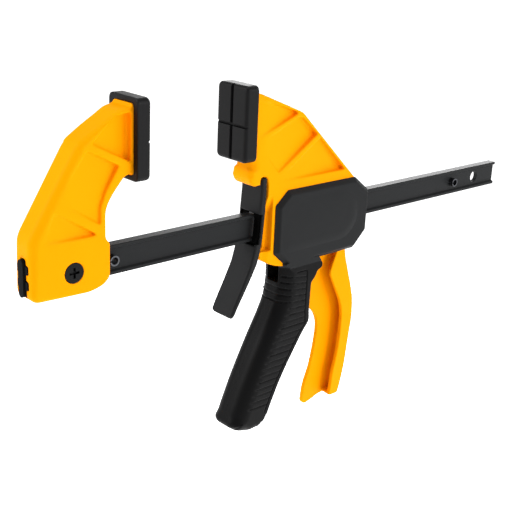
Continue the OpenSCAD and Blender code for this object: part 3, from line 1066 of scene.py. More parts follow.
@dataclass
class Jaw(SubAssembly):
    """A ribbed jaw: a moulding with side pockets, a tongue for its pad and a slot for the bar."""

    # Where on the bar the outlines count X from
    station: float = 0.0
    half: float = 8.5
    voxel: float = 0.42
    profile: Profile = Profile(())
    pockets: Tuple[Pocket, ...] = ()
    # The tongue that the pad's socket sits on, between two places in X
    tongue_ends: Point = (0.0, 1.0)
    tongue_half: float = 8.4
    tongue_bottom: float = 44.1
    tongue_top: float = 79.9
    tongue_radius: float = 1.5
    slot_ends: Point = (0.0, 1.0)
    slot_half: float = 3.25
    slot_rise: float = 8.25
    # How far round a pocket its walls are softened, and how near to the bar's slot
    pocket_rim: float = 1.6
    pocket_fade: float = 0.8
    slot_margin: float = 3.4
    slot_fade: float = 0.4
    pocket_passes: int = 26
    edge_passes: int = 6

    def _blank(self, name: str) -> Piece:
        """Models the moulding with its pockets, tongue and bar slot, still with sharp edges.

        Args:
            name: The piece's name.

        Returns:
            The moulding, ready for its own seats and recesses.
        """
        at = self.station
        jaw = Bench.plate(name, self.profile.trace()[0], -self.half, self.half, at)
        for number, pocket in enumerate(self.pockets):
            pocket.cut_both(jaw, f"pocket_{number}", self.half, at)
        low, high = self.tongue_ends
        tongue = Bench.block(
            "tongue",
            (low, -self.tongue_half, self.tongue_bottom),
            (high, self.tongue_half, self.tongue_top),
            at,
        )
        Bench.fuse(jaw, Bench.round_lengthwise(tongue, self.tongue_radius))
        low, high = self.slot_ends
        slot = Bench.block(
            "bar_slot",
            (low, -self.slot_half, -self.slot_rise),
            (high, self.slot_half, self.slot_rise),
            at,
        )
        return Bench.cut(jaw, slot)

    def _finish_off(self, jaw: Piece) -> Piece:
        """Gives the moulding one skin and rounded edges, and its pockets softer walls.

        Args:
            jaw: The moulding with all its cuts.

        Returns:
            The finished moulding.
        """
        Bench.cast(jaw, self.voxel)
        skin = Skin(jaw, self.station)
        skin.round_over(self.profile, self.half)
        skin.put_back()
        skin = Skin(jaw, self.station)
        share = np.zeros(len(skin.points))
        for pocket in self.pockets:
            depth, _, _ = skin.inside(pocket.outline)
            near = np.clip((depth + self.pocket_rim) / self.pocket_fade, 0.0, 1.0)
            share = np.maximum(share, near)
        side = np.abs(skin.points[:, 1])
        share *= np.clip((side - self.slot_margin) / self.slot_fade, 0.0, 1.0)
        Bench.ease(jaw, self.pocket_passes, share)
        return Bench.ease(jaw, self.edge_passes)


@dataclass
class FixedJaw(Jaw):
    """The jaw at the head of the bar, with its pad, end cap and screw."""

    body: ClassVar[str] = "bar_assembly"
    station: float = -332.0
    pad_face: float = -289.2
    tongue_ends: Point = (33.9, 37.4)
    slot_ends: Point = (-20.1, 30)
    # The end cap's plug and its two lugs
    cap_seats: Tuple[Box, ...] = (
        ((-30, -2.4, -9.8), (-20, 2.4, 9.8)),
        ((-30, -4.7, -5.3), (-20, 4.7, -1.1)),
        ((-30, -4.7, 2.6), (-20, 4.7, 6.8)),
    )
    screw_head_radius: float = 5.35
    screw_head_depth: float = 2.7
    nut_radius: float = 5.9
    nut_depth: float = 3.3
    nut_sides: int = 6
    shank_radius: float = 3.75
    # How far from the middle the cutters of the screw's seats reach
    seat_reach: float = 12.0
    profile: Profile = Profile((
        Turn(-23.2, -12, 5.2, 3.0), Turn(10, -12, 5, 0.9), Turn(17, -10, 3, 0.9),
        Turn(21, -6.5, 3, 0.9), Turn(21, 11.4, 1, 0.9), Turn(18.6, 14.2, 2, 0.9),
        Turn(18.6, 29.3, 4, 0.9), Turn(22.4, 35.8, 4, 0.9), Turn(29.5, 44, 1.5, 0.9),
        Turn(34.5, 46), Turn(34.5, 78.4), Turn(28, 77.5, 3, 2.2), Turn(18.5, 71.8, 6, 2.4),
        Turn(5.6, 64.2, 4, 3.2), Turn(2.8, 61, 3, 4.0), Turn(-23.2, 19.5, 4, 4.4),
    ))
    pockets: Tuple[Pocket, ...] = (
        Pocket(((11, 62.8), (33.6, 51.1), (33.6, 75.8), (24.5, 74.7)), 2, 34, 4.0),
        Pocket(
            ((8, 59.7), (26.5, 50.2), (18.6, 38), (15.6, 30.6), (15.6, 21.8), (-9.5, 37.8)),
            -4, 26, 3.3,
        ),
        Pocket(((-10.5, 32.2), (13.5, 17.3), (12.5, 16.9), (-17, 17.5)), -18, 16, 3.3),
    )

    def _jaw(self) -> Piece:
        """Models the jaw with the seats of its end cap, screw and nut.

        Returns:
            The finished jaw.
        """
        at, half, reach = self.station, self.half, self.seat_reach
        jaw = self._blank("fixed_jaw_moulding")
        for low, high in self.cap_seats:
            Bench.cut(jaw, Bench.block("cap_seat", low, high, at))
        floor = -half + self.screw_head_depth
        Bench.cut(jaw, Bench.rod("head_seat", (0, 0), self.screw_head_radius, -reach, floor, at))
        floor = half - self.nut_depth
        nut = Bench.rod("nut_seat", (0, 0), self.nut_radius, floor, reach, at, self.nut_sides)
        Bench.cut(jaw, nut)
        Bench.cut(jaw, Bench.rod("shank_seat", (0, 0), self.shank_radius, -reach, reach, at))
        return self._finish_off(jaw)

    def build(self, nodes: dict) -> None:
        """Builds the jaw and pad, and dresses the cap, screw and nut.

        Args:
            nodes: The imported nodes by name.
        """
        self.seat(self._jaw(), ["fixed_jaw"], "yellow_nylon", Finish.YELLOW_NYLON)
        pad = Pad().build("fixed_pad", self.pad_face, -1.0)
        self.seat(pad, ["fixed_jaw_pad"], "pad_rubber", Finish.PAD_ELASTOMER)
        Finish.CAP_NYLON.dress(nodes["fixed_jaw_end_cap"])
        Finish.BLACK_OXIDE.dress(nodes["fixed_jaw_screw"])
        Finish.PLATED_STEEL.dress(nodes["fixed_jaw_nut"])


@dataclass
class Bar(SubAssembly):
    """The rolled bar and its two stop pins."""

    body: ClassVar[str] = "bar_assembly"

    def build(self, nodes: dict) -> None:
        """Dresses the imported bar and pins.

        Args:
            nodes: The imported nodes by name.
        """
        Finish.BLACKENED_STEEL.dress(nodes["bar"])
        for name in ("head_stop_pin", "tail_stop_pin"):
            Finish.OILED_STEEL.dress(nodes[name])


@dataclass
class MovingJaw(Jaw):
    """The sliding jaw, which is also the frame of the mechanism, and its pad."""

    body: ClassVar[str] = "moving_head"
    station: float = HEAD_STATION
    tongue_ends: Point = (5.4, 8.9)
    slot_ends: Point = (0, 120)
    cavity: Outline = ((62, 12.6), (101, 12.6), (101, -12), (93, -12), (93, -40), (62, -40))
    cavity_reach: float = 17.0
    # The front column beside the bar and the chin below it are narrower than the jaw
    column: Outline = ((15, -14.2), (26.1, -14.2), (26.1, 9.0), (15, 9.0))
    column_half: float = 4.5
    chin: Outline = ((15, -30), (20.8, -30), (20.8, -13), (15, -13))
    chin_half: float = 7.3
    # How much further each recess reaches at the jaw's side, in X and Z
    column_ramp: Point = (0.0, 20.0)
    chin_ramp: Point = (14.0, 0.0)
    recess_reach: float = 12.5
    profile: Profile = Profile((
        Turn(8.3, 42.5, 0, 6.0), Turn(10, 38.5, 2, 6.0), Turn(8.1, 33.5, 2.5, 3.6),
        Turn(8.3, 29.8, 2.5, 2.6), Turn(10.4, 26.6, 2.4, 2.4), Turn(13, 25.5, 1.4, 2.0),
        Turn(15.9, 26.4, 0.5, 0.8),
        Turn(15.9, 30.7, 2.4, 0.6), Turn(20.9, 30.7, 2.4, 0.6), Turn(22.2, 26, 1, 0.6),
        Turn(22.6, -12.9, 0, 0.5), Turn(18.2, -14.2, 0.5, 0.5), Turn(18.2, -17.6, 1, 0.7),
        Turn(23, -21.4, 3, 0.7), Turn(31.4, -24.8, 3, 0.6), Turn(38.4, -26.3, 0, 0.3),
        Turn(62, -26.3), Turn(62, -20), Turn(95, -24), Turn(104.5, -14.4), Turn(104.5, 10),
        Turn(92.5, 21.4, 0, 1.0), Turn(47.3, 64.2, 3, 1.6), Turn(44, 65.7, 3, 1.6),
        Turn(14, 77.7, 4, 1.8), Turn(8.3, 78.4, 0, 1.2),
    ))
    pockets: Tuple[Pocket, ...] = (
        Pocket(((11, 75.3), (42.4, 65.2), (42.6, 63.8), (11, 52.4)), 12, 48),
        Pocket(((47, 61.2), (59.8, 50.6), (29.5, 31.6), (12, 49.7), (43, 61.6)), 18, 61),
        Pocket(((62.0, 48.0), (85.0, 26.2), (29, 26.2), (31, 28.4)), 32, 87),
    )

    def _recess(self, shape: Outline, side: int, inner: float, ramp: Point) -> Piece:
        """Makes the cutter that narrows one side, its rear and top edges sloping outwards.

        Args:
            shape: The recess at its floor.
            side: -1 for the near side, or 1.
            inner: How far from the middle plane its floor lies.
            ramp: How much further it reaches at the jaw's side, in X and Z.

        Returns:
            A solid from the recess's floor to outside the jaw.
        """
        ends = sorted((side * inner, side * self.recess_reach))
        tool = Bench.plate("recess", shape, ends[0], ends[1], self.station)
        rear, top = (max(edge) for edge in zip(*shape))
        for vertex in tool.data.vertices:
            x, y, z = vertex.co * MM_PER_METRE
            if abs(y) > inner + TOUCHING:
                if x > self.station + rear - TOUCHING:
                    vertex.co.x += metres(ramp[0])
                if z > top - TOUCHING:
                    vertex.co.z += metres(ramp[1])
        return tool

    def _jaw(self) -> Piece:
        """Models the jaw with the mechanism's cavity and its narrower front.

        Returns:
            The finished jaw.
        """
        jaw = self._blank("moving_jaw_moulding")
        reach = self.cavity_reach
        Bench.cut(jaw, Bench.plate("cavity", self.cavity, -reach, reach, self.station))
        for side in (-1, 1):
            Bench.cut(jaw, self._recess(self.column, side, self.column_half, self.column_ramp))
            Bench.cut(jaw, self._recess(self.chin, side, self.chin_half, self.chin_ramp))
        return self._finish_off(jaw)

    def build(self, nodes: dict) -> None:
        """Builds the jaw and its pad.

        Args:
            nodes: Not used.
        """
        self.seat(self._jaw(), ["moving_jaw"], "yellow_nylon", Finish.YELLOW_NYLON)
        pad = Pad().build("moving_pad", self.station, 1.0)
        self.seat(pad, ["moving_jaw_pad"], "pad_rubber", Finish.PAD_ELASTOMER)


@dataclass
class Shells(SubAssembly):
    """The two black halves, each a side panel and half of the grip, and their screws."""

    body: ClassVar[str] = "moving_head"
    station: float = HEAD_STATION
    jaw_half: float = 8.5
    panel_rise: float = 3.0
    grip_half: float = 12.0
    seam: float = 0.03
    voxel: float = 0.4
    passes: int = 3
    # Below this height the halves have the grip's polished finish
    polish_top: float = -27.5
    panel: Outline = (
        (37.1, 20.7), (93.6, 20.7), (106.4, 10.9), (106.4, -15.3), (95.7, -25.7), (38.4, -26.3),
        (27.6, -16.7), (27.6, 12.3),
    )
    cushion: Profile = Profile((
        Turn(33, 14.5, 6), Turn(84, 14.5, 8), Turn(95, 6, 7), Turn(95, -8, 7), Turn(86, -16.5, 8),
        Turn(33, -17, 6),
    ))
    cushion_height: float = 0.8
    cushion_slope: float = 6.0
    # The cushion grows from a share of its height at one place, over a run in X and one in Z
    cushion_origin: Point = (45.0, -2.0)
    cushion_runs: Point = (75.0, 60.0)
    cushion_share: float = 0.35
    cushion_least: float = 0.12
    # What still counts as the panel's face, and where the panel ends below
    panel_slack: float = 0.6
    panel_foot: float = -22.0
    grip: Profile = Profile((
        Turn(36.4, -24, 0, 9.5), Turn(63.9, -24, 0, 0), Turn(67.5, -29.4, 1, 0.8),
        Turn(66.4, -31.8, 1, 0.8), Turn(63, -33, 1, 0.8), Turn(61.6, -36.2, 1, 0.8),
        Turn(58.4, -40, 1, 1.2), Turn(58.2, -57, 3, 1.6), Turn(58.9, -64.8, 3, 1.6),
        Turn(53.6, -70.8, 4, 1.6), Turn(40.6, -91, 6, 1.6), Turn(34.7, -101.6, 4, 1.6),
        Turn(28.9, -115, 4, 2), Turn(26, -122, 2, 3), Turn(22, -125.6, 2, 4), Turn(16, -127, 3, 5),
        Turn(7, -125.6, 3, 6), Turn(0.4, -121.8, 3, 8), Turn(3.9, -112.2, 3, 9.5),
        Turn(10.6, -96.4, 5, 9.5), Turn(17.4, -82.5, 5, 9.5), Turn(24.2, -69.4, 5, 9.5),
        Turn(31.1, -57.2, 4, 9.5), Turn(35, -48.6, 4, 9.5), Turn(36.6, -40, 4, 9.5),
    ))
    grip_front: Outline = (
        (0.4, -121.8), (3.9, -112.2), (10.6, -96.4), (17.4, -82.5), (24.2, -69.4),
        (31.1, -57.2), (35, -48.6), (36.6, -40), (36.4, -24),
    )
    grip_rear: Outline = (
        (26, -122), (28.9, -115), (34.7, -101.6), (40.6, -91), (53.6, -70.8), (58.9, -64.8),
        (58.2, -57), (58.4, -40), (58.4, -24),
    )
    neck: Outline = ((37.4, -40), (57, -40), (60, -20), (39, -20))
    trigger_slot: Outline = (
        (45, -20), (80, -20), (80, -50), (28, -118.5), (20, -116.4), (12.6, -114),
        (12.6, -107), (19.5, -97.5), (28.5, -87), (44, -60),
    )
    slot_half: float = 2.2
    window: Box = ((30, -4.6, -37.5), (48, 4.6, -20))
    # The grip's edges are rounded below this height, and its sides widen from the panels' there
    rounding_top: float = -25.0
    blend_from: float = -26.0
    blend_run: float = 12.0
    panel_screws: Tuple[Point, ...] = ((44, 15), (86, 16.4), (44, -18), (97.6, -16.6))
    # Each screw in the grip, and how much deeper its head lies than those in the panel
    grip_screws: Tuple[Tuple[Point, float], ...] = (((41.2, -44.2), 2.4), ((18.6, -120), 0.0))
    head_radius: float = 3.0
    head_bottom: float = 9.8
    head_top: float = 11.4
    head_edge: float = 0.5
    head_sides: int = 48
    # The bend in degrees from which an edge of a screw is shaded sharp
    head_sharp_angle: float = 35.0
    # Half the length and half the width of each arm of the cross, and its floor
    recess_half: float = 1.7
    recess_width: float = 0.4
    recess_floor: float = 10.4
    shank_radius: float = 1.5
    shank_ends: Point = (-7.0, 10.0)
    shank_sides: int = 32
    seat_radius: float = 3.1
    seat_floor: float = 9.7
    # How far from the middle plane the cutters of seats and recesses reach
    seat_reach: float = 14.0
    recess_reach: float = 13.0
    groove_pitch: float = 3.9
    groove_top: float = -33.4
    groove_count: int = 21
    groove_wrapped: int = 4
    groove_width: float = 1.2
    groove_depth: float = 0.62
    # Below 1 the groove has a flatter floor and steeper walls
    groove_shape: float = 0.7
    # How far behind the front edge the grooves start, and those that go round it
    groove_lead: float = 6.0
    wrapped_lead: float = -4.0
    groove_fade: float = 2.5
    # The upper grooves rise to the rear: from this height on, over this run, by this slope
    tilt_from: float = -62.0
    tilt_run: float = 22.0
    tilt: float = 0.12
    # The parting line along the smooth band at the rear
    rear_band: float = 4.4
    band_fade: float = 0.6
    parting_depth: float = 0.7
    parting_overrun: float = 1.0
    # The level line above the grooves
    collar_rise: float = 2.5
    collar_depth: float = 0.6
    collar_lead: float = 9.0
    line_half: float = 0.5
    # The room round the front window that stays smooth, behind the front, beside it and up from
    window_room: Corner = (6.0, 6.0, -38.6)
    # What counts as a flank and what as the front, by place and by direction
    flank_from: float = 6.0
    flank_facing: float = 0.45
    front_run: float = 9.5
    front_facing: float = 0.2

    def _panel(self) -> Piece:
        """Models the near side panel with its slanted rim, and the neck below it.

        Returns:
            The panel.
        """
        foot, lip, bite = -self.jaw_half, 0.1, 0.01
        plate = Bench.plate("panel", self.panel, foot, foot - lip, self.station)
        Bench.pick_faces(plate, lambda face: face.normal.y < -SQUARE)
        bpy.ops.mesh.inset(thickness=metres(self.panel_rise), depth=metres(self.panel_rise - lip))
        bpy.ops.object.mode_set(mode="OBJECT")
        outer = foot - self.panel_rise
        return Bench.fuse(plate, Bench.plate("neck", self.neck, foot - bite, outer, self.station))

    def _grip(self) -> Piece:
        """Models the grip with its slot and window.

        Returns:
            Both halves of the grip in one.
        """
        at, half = self.station, self.grip_half
        grip = Bench.plate("shell_pair", self.grip.trace()[0], -half, half, at)
        slot = Bench.plate("trigger_slot", self.trigger_slot, -self.slot_half, self.slot_half, at)
        Bench.cut(grip, slot)
        return Bench.cut(grip, Bench.block("window", *self.window, at))

    def _flow(self, skin: Skin) -> None:
        """Lets the grip's sides run into the panels without a step.

        Args:
            skin: The pair's points.
        """
        y, z = skin.points[:, 1], skin.points[:, 2]
        panel = self.jaw_half + self.panel_rise
        share = np.clip((self.blend_from - z) / self.blend_run, 0.0, 1.0)
        limit = panel + (self.grip_half - panel) * share * share * (3 - 2 * share)
        skin.points[:, 1] = np.clip(y, -limit, limit)

    def _swell(self, skin: Skin) -> None:
        """Raises the low cushion on both panels, highest at its lower rear end.

        Args:
            skin: The pair's points.
        """
        depth, _, _ = skin.inside(self.cushion.trace()[0])
        x, y, z = skin.points.T
        slope = 1.0 - np.clip(depth / self.cushion_slope, 0.0, 1.0)
        (x0, z0), (run_x, run_z) = self.cushion_origin, self.cushion_runs
        share = self.cushion_share + (x - x0) / run_x - (z - z0) / run_z
        share = np.clip(share, self.cushion_least, 1.0)
        raised = self.cushion_height * share * (1.0 - slope * slope)
        face = self.jaw_half + self.panel_rise - self.panel_slack
        on_panel = (np.abs(y) > face) & (z > self.panel_foot)
        skin.points[:, 1] = np.where(on_panel, y + np.sign(y) * raised, y)

    @staticmethod
    def _edge_at(edge: Outline, z: np.ndarray) -> np.ndarray:
        """Gives the X of an edge of the grip, listed from its foot up, at each height."""
        places, heights = zip(*edge)
        return np.interp(z, heights, places)

    def _grooves(self, skin: Skin) -> None:
        """Presses the level grooves into both sides of the grip, the upper ones right round it.

        Args:
            skin: The pair's points.
        """
        x, y, z = skin.points.T
        behind = x - self._edge_at(self.grip_front, z)
        rear_gap = self._edge_at(self.grip_rear, z) - self.rear_band - x
        tilt = np.clip((z - self.tilt_from) / self.tilt_run, 0, 1) * self.tilt
        dropped = z + tilt * (behind - self.groove_lead)
        number = np.round((self.groove_top - dropped) / self.groove_pitch)
        off = np.abs(self.groove_top - dropped - number * self.groove_pitch)
        hollow = np.clip(1 - off / (self.groove_width / 2), 0, 1) ** self.groove_shape
        hollow *= self.groove_depth * ((number >= 0) & (number < self.groove_count))
        wrapped = number <= self.groove_wrapped
        starts = np.where(wrapped, self.wrapped_lead, self.groove_lead)
        hollow *= np.clip((behind - starts) / self.groove_fade, 0, 1)
        hollow *= np.clip(rear_gap / self.band_fade, 0, 1)

        parting = np.clip(1 - np.abs(rear_gap) / self.line_half, 0, 1) * self.parting_depth
        last = self.groove_top - self.groove_count * self.groove_pitch
        parting *= (z < self.groove_top + self.collar_rise) & (z > last - self.parting_overrun)

        above = np.abs(z - self.groove_top - self.collar_rise)
        collar = np.clip(1 - above / self.line_half, 0, 1) * self.collar_depth
        collar *= (rear_gap > 0) & (behind > self.collar_lead)

        room_x, room_y, room_z = self.window_room
        smooth = (z > room_z) & (np.abs(y) < room_y) & (behind < room_x)
        pressed = np.maximum(np.maximum(hollow, parting), collar) * ~smooth
        normal = skin.normals()
        flank = (np.abs(normal[:, 1]) > self.flank_facing) & (np.abs(y) > self.flank_from)
        front = (normal[:, 0] < self.front_facing) & (behind < self.front_run)
        pressed *= flank | (front & wrapped & (number >= 1))
        skin.points -= normal * pressed[:, None]

    def _screw_set(self) -> Piece:
        """Models one screw with a cross recess and copies it to the six places.

        Returns:
            The six screws in one.
        """
        at, edge, top, sides = self.station, self.head_edge, self.head_top, self.head_sides
        head = Bench.rod("screw_head", (0, 0), self.head_radius, self.head_bottom, top, at, sides)
        rim = top - TOUCHING
        Bench.round_edges(head, edge, lambda a, b: edge if min(a.y, b.y) > rim else 0.0, 3)
        long, short = self.recess_half, self.recess_width
        for wide, tall in ((long, short), (short, long)):
            low, high = (-wide, self.recess_floor, -tall), (wide, self.recess_reach, tall)
            Bench.cut(head, Bench.block("recess", low, high, at))
        low, high = self.shank_ends
        shank = Bench.rod("shank", (0, 0), self.shank_radius, low, high, at, self.shank_sides)
        Bench.fuse(head, shank)
        made = []
        for (x, z), sunk in [(place, 0.0) for place in self.panel_screws] + [*self.grip_screws]:
            twin = Bench.copy(head, "screw")
            twin.location = (metres(x), metres(-sunk), metres(z))
            made.append(Bench.settle(twin))
        bpy.data.objects.remove(head)
        Bench.only(made[0])
        for twin in made:
            twin.select_set(True)
        bpy.ops.object.join()
        bpy.ops.object.shade_smooth_by_angle(angle=math.radians(self.head_sharp_angle))
        made[0].name = "shell_screw_set"
        return made[0]

    def _seat_head(self, shell: Piece, place: Point, sunk: float) -> None:
        """Cuts the seat of one screw head into a shell.

        Args:
            shell: The shell, which is cut.
            place: The screw's axis in X and Z.
            sunk: How much deeper the head lies than those in the panel.
        """
        at, floor, reach = self.station, self.seat_floor - sunk, self.seat_reach
        seat = Bench.rod("head_seat", place, self.seat_radius, floor, reach, at, self.head_sides)
        Bench.cut(shell, seat)

    def build(self, nodes: dict) -> None:
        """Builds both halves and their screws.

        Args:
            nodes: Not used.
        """
        pair = self._grip()
        panel = self._panel()
        far_panel = Bench.other_side(panel, "far_panel")
        for place in self.panel_screws:
            self._seat_head(far_panel, place, 0.0)
        Bench.fuse(pair, panel)
        Bench.fuse(pair, far_panel)
        for place, sunk in self.grip_screws:
            self._seat_head(pair, place, sunk)
        Bench.cast(pair, self.voxel)
        skin = Skin(pair, self.station)
        skin.round_over(self.grip, self.grip_half, self.rounding_top)
        self._flow(skin)
        skin.put_back()
        Bench.ease(pair, self.passes)
        skin = Skin(pair, self.station)
        self._swell(skin)
        self._grooves(skin)
        skin.put_back()
        far = Bench.copy(pair, "far_half")
        pair.name = "near_half"
        for piece, side, node in ((pair, -1, "near_shell"), (far, 1, "far_shell")):
            Bench.half_of(piece, side, self.seam)
            self.seat(piece, [node], "black_nylon", Finish.BLACK_NYLON)
            self._polish(piece)
        self.seat(self._screw_set(), ["shell_screws"], "plain_steel", Finish.BLACKENED_STEEL)

    def _polish(self, piece: Piece) -> None:
        """Gives the grip below the panel its polished finish.

        Args:
            piece: One half, dressed all over in the panel's finish.
        """
        piece.data.materials.append(Finish.GRIP_NYLON.value.material())
        for polygon in piece.data.polygons:
            if polygon.center.z < metres(self.polish_top):
                polygon.material_index = 1


@dataclass
class Trigger(SubAssembly):
    """The squeeze trigger: a web with a palm flange, a hub and a fork that straddles the bar."""

    body: ClassVar[str] = "trigger"
    station: float = HEAD_STATION
    pivot: Point = (77.0, -15.0)
    web_half: float = 1.3
    lip_half: float = 9.3
    neck_half: float = 8.2
    wall: float = 1.5
    voxel: float = 0.38
    # The flange narrows upwards, from its lip's width at one height to its neck's over a run
    section: Outline = ((60, 0), (110, 0), (110, -140), (60, -140))
    section_half: float = 12.0
    taper_from: Corner = (60.0, 0.0, -62.0)
    taper_run: float = 32.0
    wedge_size: Corner = (60.0, 8.0, 60.0)
    wedge_lead: float = -20.0
    hub_radius: float = 6.0
    hub_half: float = 6.6
    pin_radius: float = 2.05
    fork_inner: float = 3.6
    # One leg of the fork, from the pivot
    fork_leg: Outline = ((-5.6, 0), (0, 0), (0, 18.5), (-0.7, 20.6), (-4.6, 20.6), (-5.6, 17.6))
    # The room for the drive plates behind the legs
    plate_room_run: float = 12.0
    plate_room_ends: Point = (-11.7, 11.0)
    cutter_half: float = 12.0
    # The band along the hollow's edge, and off the outer walls, that is eased more
    hollow_rim: float = 3.6
    hollow_fade: float = 1.5
    hollow_side: float = 6.4
    hollow_passes: int = 40
    passes: int = 5
    web: Profile = Profile((
        Turn(71.4, -17), Turn(70.5, -30), Turn(68.5, -38, 3), Turn(65.4, -50, 3),
        Turn(66.4, -59.5, 4), Turn(70, -63, 2), Turn(73.3, -66.4, 2), Turn(76.3, -72.4, 4),
        Turn(76.9, -78.6, 3), Turn(75.6, -89.8, 4), Turn(72.7, -104.2, 5), Turn(68.1, -115.4, 5),
        Turn(66.8, -127, 2), Turn(69.6, -129.4, 1.5), Turn(86, -125.4), Turn(95, -60),
        Turn(89.5, -30), Turn(82.6, -17),
    ))
    flange: Profile = Profile((
        Turn(84.3, -24), Turn(77.6, -39, 3), Turn(88.6, -60.4, 5), Turn(90.6, -69, 4),
        Turn(90.4, -83, 5), Turn(88.8, -96.3, 5), Turn(85.8, -109, 4), Turn(85, -119, 2),
        Turn(83.6, -124.6, 0.8), Turn(91.6, -124.8, 0.8), Turn(93.5, -118.8, 2),
        Turn(96.4, -105.7, 5), Turn(98.3, -88, 6), Turn(100.4, -71.5, 6), Turn(99.3, -58, 5),
        Turn(96.4, -47.5, 5), Turn(91.8, -32.8, 4), Turn(90, -24),
    ))
    hollow: Outline = (
        (60, -22.5), (60, -139.4), (81, -139.4), (81, -122.5), (91.2, -122.5), (91.2, -118),
        (94, -105.5), (95.8, -88), (97.9, -71.5), (96.8, -58.4), (93.9, -48), (89.3, -33.5),
        (87.5, -22.5),
    )

    def _section(self) -> Piece:
        """Models the room that the flange has, whose sides lean in above the lip.

        Returns:
            The room as a solid.
        """
        at = self.station
        section = Bench.plate("section", self.section, -self.section_half, self.section_half, at)
        lean = math.atan2(self.lip_half - self.neck_half, self.taper_run)
        x, _, z = self.taper_from
        for side in (-1, 1):
            wedge = Bench.block("wedge", (self.wedge_lead, 0, 0), self.wedge_size)
            wedge.rotation_euler = (side * lean, 0, 0)
            wedge.location = (metres(at + x), metres(side * self.lip_half), metres(z))
            if side < 0:
                wedge.location.y -= metres(self.wedge_size[1])
            Bench.cut(section, Bench.settle(wedge))
        return section

    def _trigger(self) -> Piece:
        """Models the whole trigger.

        Returns:
            The finished trigger.
        """
        at, reach = self.station, self.cutter_half
        trigger = Bench.plate(
            "trigger_moulding", self.flange.trace()[0], -self.lip_half, self.lip_half, at
        )
        Bench.keep(trigger, self._section())
        for side in (-1, 1):
            ends = sorted((side * self.web_half, side * (self.neck_half - self.wall)))
            Bench.cut(trigger, Bench.plate("hollow", self.hollow, ends[0], ends[1], at))
        web = Bench.plate("web", self.web.trace()[0], -self.web_half, self.web_half, at)
        Bench.fuse(trigger, web)
        hub = Bench.rod("hub", self.pivot, self.hub_radius, -self.hub_half, self.hub_half, at)
        Bench.fuse(trigger, hub)
        x, z = self.pivot
        leg = tuple((x + along, z + up) for along, up in self.fork_leg)
        for side in (-1, 1):
            ends = sorted((side * self.fork_inner, side * self.hub_half))
            Bench.fuse(trigger, Bench.plate("fork_leg", leg, ends[0], ends[1], at))
        Bench.cut(trigger, Bench.rod("pin_bore", self.pivot, self.pin_radius, -reach, reach, at))
        bottom, top = self.plate_room_ends
        high = (x + self.plate_room_run, reach, top)
        Bench.cut(trigger, Bench.block("plate_room", (x, -reach, bottom), high, at))
        Bench.cast(trigger, self.voxel)
        skin = Skin(trigger, at)
        depth, _, _ = skin.inside(self.hollow)
        share = np.clip((self.hollow_rim - np.abs(depth)) / self.hollow_fade, 0.0, 1.0)
        share *= np.clip(self.hollow_side - np.abs(skin.points[:, 1]), 0.0, 1.0)
        Bench.ease(trigger, self.hollow_passes, share)
        return Bench.ease(trigger, self.passes)

    def build(self, nodes: dict) -> None:
        """Builds the trigger."""
        self.seat(self._trigger(), ["trigger"], "yellow_nylon", Finish.YELLOW_NYLON)


@dataclass
class ReleaseLever(SubAssembly):
    """The pressed release lever, with the brake plate that it carries."""

    body: ClassVar[str] = "release_lever"
    station: float = HEAD_STATION
    half: float = 9.0
    inner_half: float = 7.4
    wall: float = 1.1
    # The pressing's bends run along its front, which is the outline's first points
    bend_radius: float = 1.5
    rim_radius: float = 0.3
    front_points: int = 9
    tip_radius: float = 2.8
    tip_top: float = -48.5
    voxel: float = 0.32
    passes: int = 3
    # The channel behind the front: its front wall's points in the outline, and its other corners
    channel_front: Tuple[int, int] = (1, 5)
    channel_head: Point = (18.0, 40)
    channel_rest: Outline = ((12.3, -19), (30, -19), (30, 40))
    # The opening for the bar, and the notch that frees the bar's near side
    window: Box = ((0, -7.3, -9.6), (40, 7.3, 9.2))
    side_notch: Outline = ((10, -8.6), (16.4, -8.6), (17.2, -4), (18.3, 9.2), (10, 9.2))
    side_notch_ends: Point = (-12.0, -7.0)
    outline: Outline = (
        (16.9, 30), (16.8, 22), (15.9, 10), (14.9, -5), (12.6, -14.6), (10.4, -22),
        (5.5, -31.8), (-0.6, -43.4), (-3.2, -49.2), (-1.6, -50.6), (1.9, -44), (8.4, -33),
        (11.6, -27.4), (15.2, -20.5), (17, -14.5), (18.8, -5), (20, 10), (20.2, 22),
        (20.2, 30),
    )

    def build(self, nodes: dict) -> None:
        """Builds the lever and dresses the brake plate.

        Args:
            nodes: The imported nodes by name.
        """
        at, tip = self.station, self.tip_radius
        lever = Bench.plate("lever_pressing", self.outline, -self.half, self.half, at)
        Bench.round_edges(
            lever,
            tip,
            lambda a, b: tip if max(a.z, b.z) < self.tip_top and abs(a.y - b.y) < 1 else 0.0,
            6,
        )
        inside = [(x + self.wall, z) for x, z in self.outline[slice(*self.channel_front)]]
        channel = [self.channel_head, *inside, *self.channel_rest]
        Bench.cut(lever, Bench.plate("channel", channel, -self.inner_half, self.inner_half, at))
        Bench.cut(lever, Bench.block("window", *self.window, at))
        Bench.cut(lever, Bench.plate("side_notch", self.side_notch, *self.side_notch_ends, at))
        Bench.cast(lever, self.voxel)
        bent = tuple(
            Turn(x, z, 0.0, self.bend_radius if number < self.front_points else self.rim_radius)
            for number, (x, z) in enumerate(self.outline)
        )
        skin = Skin(lever, at)
        skin.round_over(Profile(bent), self.half)
        skin.put_back()
        Bench.ease(lever, self.passes)
        self.seat(lever, ["release_lever"], "black_lever", Finish.LEVER_COAT)
        # The brake plate is painted nearly black: painted shade inside the lever's window
        Finish.BLACK_PHOSPHATE.dress(nodes["brake_plate"])


@dataclass
class Mechanism(SubAssembly):
    """The steel pieces inside the head."""

    body: ClassVar[str] = "moving_head"
    steel_nodes: Tuple[str, ...] = (
        "trigger_pin", "front_drive_plate", "rear_drive_plate", "drive_spring", "brake_spring",
    )

    def build(self, nodes: dict) -> None:
        """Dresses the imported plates, pin and springs."""
        for name in self.steel_nodes:
            Finish.PLATED_STEEL.dress(nodes[name])


# ---------------------------------------------------------------------------- studio


